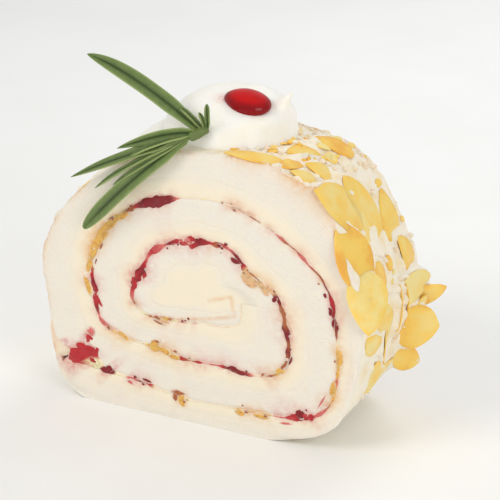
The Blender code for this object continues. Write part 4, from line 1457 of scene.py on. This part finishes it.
@dataclass(frozen=True)
class FillingBits:
    """Pieces of almond and fruit that the knife has cut through, and finer specks of both."""

    section: RollSection
    jam: JamLine
    face: CutFace
    depth: float = 0.35
    specks: int = 120
    seed: int = 5
    large: tuple[tuple[Any, ...], ...] = (
        (10.2, 2.0, 3.6, 3.4, Filling.RED),
        (8.2, 4.8, 3.6, 3.4, Filling.RED),
        (5.6, 6.2, 3.0, 2.4, Filling.ROSE),
        (13.6, 2.2, 4.2, 3.0, Filling.RED),
        (16.8, 0.7, 3.6, 2.0, Filling.RED),
        (23, 0.6, 1.8, 1.5, Filling.DARK),
        (33, -0.9, 3.2, 1.5, Filling.ROSE),
        (39, 0.9, 3.4, 0.7, Filling.DARK),
        (55.3, -0.2, 1.7, 3.4, Filling.BROWN),
        (57, 1.4, 3.6, 1.3, Filling.BROWN),
        (58.6, -0.3, 3.0, 3.8, Filling.AMBER),
        (88.5, -0.9, 3.4, 1.7, Filling.AMBER),
        (91.8, -0.4, 1.3, 0.9, Filling.BROWN),
        (96.8, -0.9, 3.8, 1.4, Filling.AMBER),
        (99.5, -0.6, 1.2, 0.8, Filling.BROWN),
        (106, -1.6, 3.4, 0.9, Filling.ROSE),
        (113.5, 1.2, 2.7, 2.8, Filling.DARK),
        (116, 0.1, 2.0, 1.8, Filling.RED),
        (124, 1.7, 5.4, 0.8, Filling.ROSE),
        (131, 0.6, 4.4, 1.5, Filling.AMBER),
        (142.5, -0.4, 4.8, 1.5, Filling.AMBER),
        (156, 0.4, 3.2, 0.9, Filling.DARK),
        (160.5, 0.8, 2.2, 1.3, Filling.DARK),
        (166.5, 1.1, 1.6, 1.0, Filling.DARK),
        (271, 0.6, 5.5, 2.0, Filling.DARK),
        (290, 0.3, 3.4, 1.5, Filling.BROWN),
        (298, 0.6, 4.2, 1.6, Filling.AMBER),
        (303, -0.6, 2.4, 0.6, Filling.BROWN),
        (307, 1.0, 4.6, 1.4, Filling.AMBER),
        (311, -0.3, 3.4, 0.7, Filling.BROWN),
        (317, 1.3, 4.4, 1.5, Filling.AMBER),
        (321, 2.0, 2.4, 0.7, Filling.BROWN),
        (327, 0.7, 3.8, 1.4, Filling.AMBER),
        (330, 1.6, 2.2, 0.5, Filling.DARK),
        (334, -0.4, 4.4, 1.3, Filling.AMBER),
        (344, -1.5, 5.6, 1.6, Filling.AMBER),
        (352, 0.8, 4.4, 1.4, Filling.RED),
        (367, 0.2, 1.5, 1.1, Filling.BROWN),
        (375, 0.3, 3.8, 1.5, Filling.AMBER),
        (392, 0.7, 2.7, 3.4, Filling.AMBER),
        (391, 2.0, 2.0, 0.9, Filling.BROWN),
        (399, -0.2, 3.4, 1.8, Filling.AMBER),
        (408, -0.6, 3.4, 1.3, Filling.AMBER),
        (455, 0.5, 4.0, 1.7, Filling.DARK),
        (472, 0.4, 1.3, 1.1, Filling.BROWN),
        (481.5, 0.2, 3.6, 1.9, Filling.AMBER),
        (486, 0.2, 3.6, 1.7, Filling.BROWN),
        (490, -0.7, 2.6, 0.7, Filling.DARK),
        (503, 0.1, 2.4, 1.8, Filling.DARK),
        (523.5, 0.8, 2.0, 1.3, Filling.DARK),
        (531, 0.9, 4.6, 2.4, Filling.TAN),
        (539, 1.1, 5.0, 3.0, Filling.TAN),
        (545, 0.8, 3.4, 2.0, Filling.TAN),
        (540, -0.7, 7.0, 0.6, Filling.BROWN),
        (560, 0.9, 3.6, 1.2, Filling.DARK),
        (614, 0.2, 3.4, 1.8, Filling.ROSE),
        (622, 0.7, 2.6, 1.4, Filling.RED),
        (688, 0.2, 3.4, 1.9, Filling.DARK),
        (698, 0.2, 3.2, 1.7, Filling.RED),
        (736, 0.2, 3.0, 1.4, Filling.BROWN),
        (743, -0.3, 3.6, 1.6, Filling.TAN),
        (741, -1.5, 4.4, 0.7, Filling.BROWN),
    )

    def build(self) -> list[Shell]:
        """Makes the large pieces, others like them on the back face, and specks on both by a seeded rule."""
        draw = random.Random(self.seed)
        shells = [self.bit(*row, -1, number) for number, row in enumerate(self.large)]
        for number, (wind, offset, length, width, filling) in enumerate(self.large):
            size, elsewhere = draw.uniform(0.7, 1.1), draw.uniform(15, 780)
            at = elsewhere if abs(offset) < 2.2 else wind
            shells.append(self.bit(at, offset, size * length, size * width, filling, 1, 100 + number))
        for number in range(self.specks):
            wind, side, size = draw.uniform(12, 800), draw.choice((-1, 1)), draw.uniform(0.3, 0.85)
            offset, length = draw.gauss(0.2, 0.7), size * draw.uniform(1.0, 1.9)
            red = float(self.jam.share(wind, Filling.RED, Filling.DARK, Filling.ROSE))
            kind = Filling.DARK if red > draw.random() else Filling.BROWN
            if self.jam.share(wind, Filling.PALE) < 0.8 or draw.random() < 0.1:
                shells.append(self.bit(wind, offset, length, size, kind, side, 200 + number))
        return shells

    def bit(
        self, wind: float, offset: float, length: float, width: float, filling: Filling, side: int, seed: int
    ) -> Shell:
        """One piece, nearly flush with the cut face.

        Args:
            wind: Its winding angle.
            offset: How far inwards of the jam's middle it lies.
            length: Its length along the jam.
            width: Its width across it.
            filling: What it is.
            side: -1 on the front face, 1 on the back.
            seed: Which shape it has.

        Returns:
            A flattened ball whose radius is shaken by noise.
        """
        ball = unit_ball(12, 14)
        thin = smooth(np.hypot(ball[..., 0], ball[..., 1]), 0.6, 0.95)
        thin = thin + 0.3 * (filling in (Filling.ROSE, Filling.BROWN))
        ball = ball * (1 + 0.55 * rough(ball + 7.0 * seed, 0.8, 23, 2))[..., None]
        inset = self.section.jam_inset(wind) + offset
        here = self.section.point(wind, inset)
        ahead = unit(self.section.point(wind + 0.5, inset) - here)
        along, over = ball[..., 0] * length / 2, ball[..., 1] * width / 2
        x = here[0] + along * ahead[0] - over * ahead[1]
        z = here[1] + along * ahead[1] + over * ahead[0]
        level = self.face.relief(x, z, np.full(x.shape, float(side))) + self.depth * ball[..., 2]
        places = np.stack((x, side * (self.section.depth / 2 + level - 0.02), z), axis=-1)
        kinds = {kind.name.lower(): float(kind is filling) for kind in Filling}
        return Shell.from_grid(places, {**kinds, "thin": thin})


# ---------------------------------------------------------------- toppings


@dataclass
class CreamRosette:
    """The piped rosette: a squat dome with a soft swirl, a lip behind the drop and the nozzle's last curl."""

    section: RollSection
    centre: tuple[float, float, float] = (-0.1, 1.6, 68.5)
    radii: tuple[float, float, float] = (16.3, 16.0, 11.8)
    skirt_place: tuple[float, float, float] = (-13.5, 1.0, 66.0)
    skirt_radii: tuple[float, float, float] = (15.0, 11.5, 5.6)
    skirt_slope: float = 27.0
    turns: float = 1.6
    swirl: float = 0.18
    lip: tuple[float, float, float, float] = (7.0, 3.6, 1.2, 4.2)
    hollow: tuple[float, float, float, float] = (6.9, -3.9, 1.0, 4.6)
    curl_foot: tuple[float, float, float] = (12.4, 1.5, 76.0)
    curl_tip: tuple[float, float, float] = (15.7, 1.0, 81.7)
    curl_rise: float = 5.0
    curl_reach: float = 1.45
    flare: float = 1.2
    flare_reach: float = 0.9
    edge_room: float = 0.7
    sunk: float = 1.0
    uneven: float = 0.12
    uneven_grain: float = 4.0
    bled: tuple[tuple[Any, ...], ...] = (
        ((1.3, -4.5, 79.8), (2.2, 2.2, 2.0), 0.8),
        ((12.9, -3.7, 79.5), (1.6, 2.0, 1.4), 0.7),
    )

    def dome(self) -> Shell:
        """The dome: a superellipsoid with a swirl, lip and hollow, drawn out into the curl."""
        x, y, z = np.moveaxis(unit_ball(150, 240), -1, 0)
        flat = np.maximum(1e-6, np.hypot(x, y))
        exponent = 2.45 + 0.45 * x / flat
        spread = flat ** (2 / exponent) / flat
        rise = np.sign(z) * np.abs(z) ** (2 / exponent)
        place = np.stack((x * spread, y * spread, rise), axis=-1) * self.radii
        ahead = unit(np.stack((x, y, 0.6 * np.maximum(0, z)), axis=-1))
        right, back = place[..., 0] / self.radii[0], place[..., 1] / self.radii[1]
        phase = np.arctan2(back, right) + TURN * self.turns * rise
        fade = smooth(np.hypot(right, back), 0.05, 0.45)
        ridge = fade * self.swirl * np.cos(phase)
        place = place + ahead * ridge[..., None]
        place = place + np.array(self.centre)
        for at_x, at_y, amount, reach, way in ((*self.lip, 1), (*self.hollow, -1)):
            near = bell(np.hypot(place[..., 0] - at_x, place[..., 1] - at_y), 0, reach)
            place[..., 2] += way * amount * near * smooth(z, 0.2, 0.7)
        foot, tip = np.array(self.curl_foot), np.array(self.curl_tip)
        towards = unit(tip - foot)
        off_axis = place - foot - ((place - foot) @ towards)[..., None] * towards
        drawn = np.exp(-((np.linalg.norm(off_axis, axis=-1) / self.curl_reach) ** 1.3))
        drawn = (drawn * smooth(z, -0.1, 0.2))[..., None]
        place = place + self.curl_rise * drawn * towards + drawn**2 * np.array((0.8, 0.0, -0.2))
        above = place[..., 2] - self.section.top(place[..., 0])
        above = np.maximum(0, above)
        flare = self.flare * np.exp(-above / self.flare_reach)
        place[..., :2] += flare[..., None] * unit(np.stack((x, y), axis=-1))
        edge = self.section.depth / 2 - self.edge_room
        place[..., 1] = np.minimum(place[..., 1], edge + 0.5 * above)
        return self.settled(place)

    def skirt(self) -> Shell:
        """The cream that has spread down the roll to the left: a flattened ball, turned to its slope."""
        ball = unit_ball(60, 90) * self.skirt_radii
        return self.settled(ball @ turning(1, -self.skirt_slope).T + np.array(self.skirt_place))

    def settled(self, place: Array) -> Shell:
        """The surface laid on the roll's top: sunk into it a little, and faintly uneven."""
        place[..., 2] = np.maximum(place[..., 2], self.section.top(place[..., 0]) - self.sunk)
        place[..., 2] += self.uneven * rough(place, self.uneven_grain, 17)
        return Shell.from_grid(place)

    def build(self) -> bpy.types.Object:
        """Makes the rosette one piece."""
        shell = Shell.joined((self.dome(), self.skirt()))
        bled = np.zeros(len(shell.points))
        for place, reach, amount in self.bled:
            bled += amount * bell(np.linalg.norm((shell.points - np.array(place)) / reach, axis=-1))
        shell.values = {"warmth": np.full(len(bled), 0.15), "pink": 0.6 * bled, "amber": 0 * bled}
        finish = WhippedCream(
            "piped_whipped_cream", 0.42, 0.4, 1.6, (1.0, 0.9, 0.75), 0.4, relief_mm=0.04, inside="#FEFCF6"
        )
        return make_piece("piped_rosette", shell, finish, "whipped_cream", "cream_rosette")


@dataclass
class JellyDrop:
    """The drop of red jelly in the rosette's hollow."""

    place: tuple[float, float, float] = (6.9, -3.7, 79.0)
    radii: tuple[float, float, float] = (5.8, 4.4, 2.7)
    tilt: float = 11.0
    lean: float = 9.0

    def build(self) -> bpy.types.Object:
        """Makes the drop: a flattened ball, a little pointed at its left and uneven round its rim."""
        ball = unit_ball(50, 80)
        # rim: how near the drop's edge each point lies; the jelly's colour is painted darker there as shade.
        rim = smooth(np.hypot(ball[..., 0], ball[..., 1]), 0.55, 1.0)
        narrowed = 1 - 0.16 * smooth(-ball[..., 0], 0.2, 1.0)
        ball = ball * (1 + 0.035 * rough(ball, 0.8, 18))[..., None]
        ball[..., 1] *= narrowed
        turn = turning(0, self.tilt) @ turning(1, self.lean)
        places = (ball * self.radii) @ turn.T + np.array(self.place)
        finish = RedJelly("set_red_jelly", 0.14, 0.1, 0.8, (1.0, 0.05, 0.04), 0.2, 0.12, 0.05, 0.05)
        shell = Shell.from_grid(places, {"rim": rim})
        return make_piece("jelly_bead", shell, finish, "red_jelly", "jelly_drop")


@dataclass
class RosemarySprig:
    """The rosemary tip: needle leaves on a short stem."""

    stem_right: tuple[float, float, float] = (1.6, -13.4, 74.9)
    stem_left: tuple[float, float, float] = (-1.4, -17.7, 73.4)
    stem_radius: float = 1.2
    thickness: float = 0.8
    facing: tuple[float, float, float] = (0.3, -0.85, 0.42)
    leaves: tuple[tuple[Any, ...], ...] = (
        (0.35, (-15.6, -15.3, 84.3), (-29.6, -14.2, 88.8), 4.0, 8, 0.45),
        (0.25, (-1.9, -15.7, 78.0), (-4.3, -15.9, 79.6), 1.4, 30, 0.6),
        (0.55, (-7.7, -18.5, 73.3), (-19.6, -19.0, 68.5), 3.0, -25, 0.4),
        (0.75, (-15.5, -19.6, 67.8), (-31.7, -20.4, 59.9), 2.9, 20, 0.4),
        (0.65, (-7.4, -19.2, 71.9), (-16.2, -20.0, 67.1), 2.0, 45, 0.5),
        (0.85, (-13.9, -20.3, 66.3), (-24.9, -20.8, 58.3), 1.6, 35, 0.5),
        (0.95, (-12.0, -20.3, 66.0), (-20.2, -20.3, 59.7), 1.4, 25, 0.5),
        (1.0, (-14.3, -20.3, 62.3), (-28.2, -21.0, 47.7), 3.9, 0, 0.74),
        (0.05, (2.3, -15.4, 78.4), (2.6, -16.0, 81.6), 1.3, 10, 0.7),
        (0.15, (1.2, -15.6, 77.4), (0.4, -15.9, 79.2), 1.1, 30, 0.6),
    )

    def leaf(
        self,
        start: float,
        middle: Sequence[float],
        tip: Sequence[float],
        width: float,
        roll: float,
        taper: float,
    ) -> Shell:
        """One needle leaf.

        Args:
            start: Where it leaves the stem, from its right end to its left.
            middle: The leaf's middle.
            tip: Its tip.
            width: Its greatest width.
            roll: How far it is turned about its length.
            taper: From where along it it narrows to its tip: the sooner, the sharper.

        Returns:
            A lens-shaped profile with a groove along its face, channelled, carried along a
            quadratic curve and narrowed at the foot and the round tip.
        """
        foot = np.array(self.stem_right) + start * (np.array(self.stem_left) - np.array(self.stem_right))
        end, control = np.array(tip), 2 * np.array(middle) - (foot + np.array(tip)) / 2
        steps = np.linspace(0, 1, 46)
        share = (1 - (1 - steps) ** 1.4)[:, None]
        line = (1 - share) ** 2 * foot + 2 * share * (1 - share) * control + share**2 * end
        ahead = unit((1 - share) * (control - foot) + share * (end - control))
        side = unit(np.cross(ahead, self.facing))
        turned = math.radians(roll)
        side = side * math.cos(turned) + np.cross(ahead, side) * math.sin(turned)
        out = np.cross(side, ahead)
        past = np.maximum(0, (share - taper) / (1 - taper))
        narrowed = np.clip(1 - past**2.2, 0, 1) ** (1.2 - 0.95 * taper)
        breadth = np.minimum(1.0, 0.5 + 2.2 * share) * narrowed * smooth(share, -0.01, 0.01)
        around = np.linspace(0, TURN, 28, endpoint=False)[None, :]
        across, level = np.cos(around), np.sign(np.sin(around)) * np.abs(np.sin(around)) ** 0.7
        half = breadth * width / 2
        groove = 0.32 * bell(across, 0, 0.2) * (level > 0)
        thick = self.thickness * np.minimum(1, 1.6 * breadth)
        rise = (level / 2 - groove) * thick + 0.3 * half * np.abs(across)
        wave = np.stack(np.broadcast_arrays(12 * share, width + 0 * share, across), axis=-1)
        places = line[:, None] + (across * half)[..., None] * side[:, None] + rise[..., None] * out[:, None]
        places = places + (0.12 * rough(wave, 2.2, 19))[..., None] * out[:, None]
        values = {
            # groove: where painted shade darkens the channel along the needle's face
            "groove": bell(across, 0, 0.24) * (level > 0) * smooth(share, 1.0, 0.8),
            "margin": smooth(np.abs(across), 0.72, 1.0) * 0.75 + 0.35 * (level < 0),
            "wood": smooth(share, 0.16, 0.0) * 0.7,
        }
        return Shell.from_grid(places, values)

    def stem(self) -> Shell:
        """The short stem: a knobbly rod with round ends."""
        share = np.linspace(0, 1, 20)[:, None]
        around = np.linspace(0, TURN, 18, endpoint=False)[None, :]
        right, left = np.array(self.stem_right), np.array(self.stem_left)
        forward = unit(left - right)
        one = unit(np.cross(forward, (0, 0, 1)))
        two = np.cross(forward, one)
        radius = self.stem_radius * np.sqrt(np.clip(1 - np.abs(2 * share - 1) ** 5, 0, 1))
        around_line = np.cos(around)[..., None] * one + np.sin(around)[..., None] * two
        line = right + share[..., None] * (left - right)
        knobs = 1 + 0.15 * rough(line + around_line * self.stem_radius, 1.2, 20)
        places = line + (radius * knobs)[..., None] * around_line
        return Shell.from_grid(places, {"groove": 0.0, "margin": 0.0, "wood": 1.0})

    def build(self) -> bpy.types.Object:
        """Makes the sprig one piece."""
        shells = [self.stem(), *(self.leaf(*leaf) for leaf in self.leaves)]
        finish = RosemaryLeaf("fresh_rosemary_needle", 0.45, 0.1, 0.5, (0.6, 1.0, 0.3), 0.5, relief_mm=0.06)
        return make_piece("rosemary_tip", Shell.joined(shells), finish, "rosemary", "rosemary_sprig")


# ---------------------------------------------------------------- the studio


@dataclass(frozen=True)
class Studio:
    """A pale floor, soft lights and the camera at the photograph's angle."""

    camera_place: tuple[float, float, float] = (178.855, -359.388, 205.377)
    camera_forward: tuple[float, float, float] = (-0.40097764, 0.83252239, -0.38226092)
    lens: float = 128.226
    floor_reach: float = 2500.0
    floor_cells: int = 40
    floor_drop: float = 0.02
    sky: str = "#F4F5F7"
    sky_strength: float = 0.68
    lit_place: tuple[float, float, float] = (0.0, 0.0, 35.0)
    lights: tuple[tuple[Any, ...], ...] = (
        ("key", (-260, -420, 460), 320, 1.2, "#FFFAF2", False),
        ("fill", (420, -260, 260), 300, 0.66, "#FFFDF8", True),
        ("back", (60, 420, 420), 300, 0.8, "#FFFFFF", False),
    )

    def build(self) -> None:
        """Lays the floor, hangs the lights and sets the camera."""
        cells = self.floor_cells
        steps = np.linspace(-self.floor_reach, self.floor_reach, cells + 1)
        places = np.stack(np.meshgrid(steps, steps, -self.floor_drop, indexing="ij"), axis=-1)
        row, column = np.meshgrid(np.arange(cells), np.arange(cells), indexing="ij")
        start = (row * (cells + 1) + column).ravel()
        faces = np.stack((start, start + cells + 1, start + cells + 2, start + 1), axis=-1)
        mesh = bpy.data.meshes.new("floor")
        mesh.from_pydata((places.reshape(-1, 3) * MM).tolist(), [], faces.tolist())
        mesh.materials.append(PaleBoard("matt_pale_board", 0.8, relief_mm=0.02).material())
        floor = bpy.data.objects.new("floor", mesh)
        bpy.context.scene.collection.objects.link(floor)

        for name, place, size, power, tint, glossy in self.lights:
            lamp = bpy.data.lights.new(name, "AREA")
            lamp.shape, lamp.size, lamp.energy, lamp.color = "DISK", size * MM, power, linear(tint)[:3]
            light = bpy.data.objects.new(name, lamp)
            light.location = Vector(place) * MM
            light.visible_glossy = glossy
            towards = Vector(self.lit_place) - Vector(place)
            light.rotation_euler = towards.to_track_quat("-Z", "Y").to_euler()
            bpy.context.scene.collection.objects.link(light)

        world = bpy.data.worlds.new("studio")
        world.use_nodes = True
        background = world.node_tree.nodes["Background"]
        background.inputs["Color"].default_value = linear(self.sky)
        background.inputs["Strength"].default_value = self.sky_strength
        bpy.context.scene.world = world
        # Colours show as a camera's plain sRGB picture
        bpy.context.scene.view_settings.view_transform = "Standard"

        lens = bpy.data.cameras.new("camera")
        lens.lens, lens.sensor_width, lens.clip_start = self.lens, 36.0, 0.01
        camera = bpy.data.objects.new("camera", lens)
        camera.location = Vector(self.camera_place) * MM
        camera.rotation_euler = Vector(self.camera_forward).to_track_quat("-Z", "Y").to_euler()
        bpy.context.scene.collection.objects.link(camera)
        bpy.context.scene.camera = camera


def main() -> None:
    """Builds the slice's looks from the roll outwards and keeps its sizes."""
    logging.basicConfig(level=logging.INFO, format="%(name)s: %(message)s")
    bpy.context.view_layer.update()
    Studio().build()

    section, face = RollSection(), CutFace()
    jam = JamLine(section)
    almonds = AlmondFlakes(section)
    flakes = almonds.scattered()
    sheet = MeringueSheet(section, jam, face)
    sheet.build(flakes)
    almonds.build(flakes + almonds.scraps(sheet, flakes))
    MeringueCrumbs(sheet).build(flakes)
    CreamFilling(section, jam, face).build()
    JamLayer(section, jam, face).build(FillingBits(section, jam, face).build())
    CreamRosette(section).build()
    JellyDrop().build()
    RosemarySprig().build()


if __name__ == "__main__":
    main()
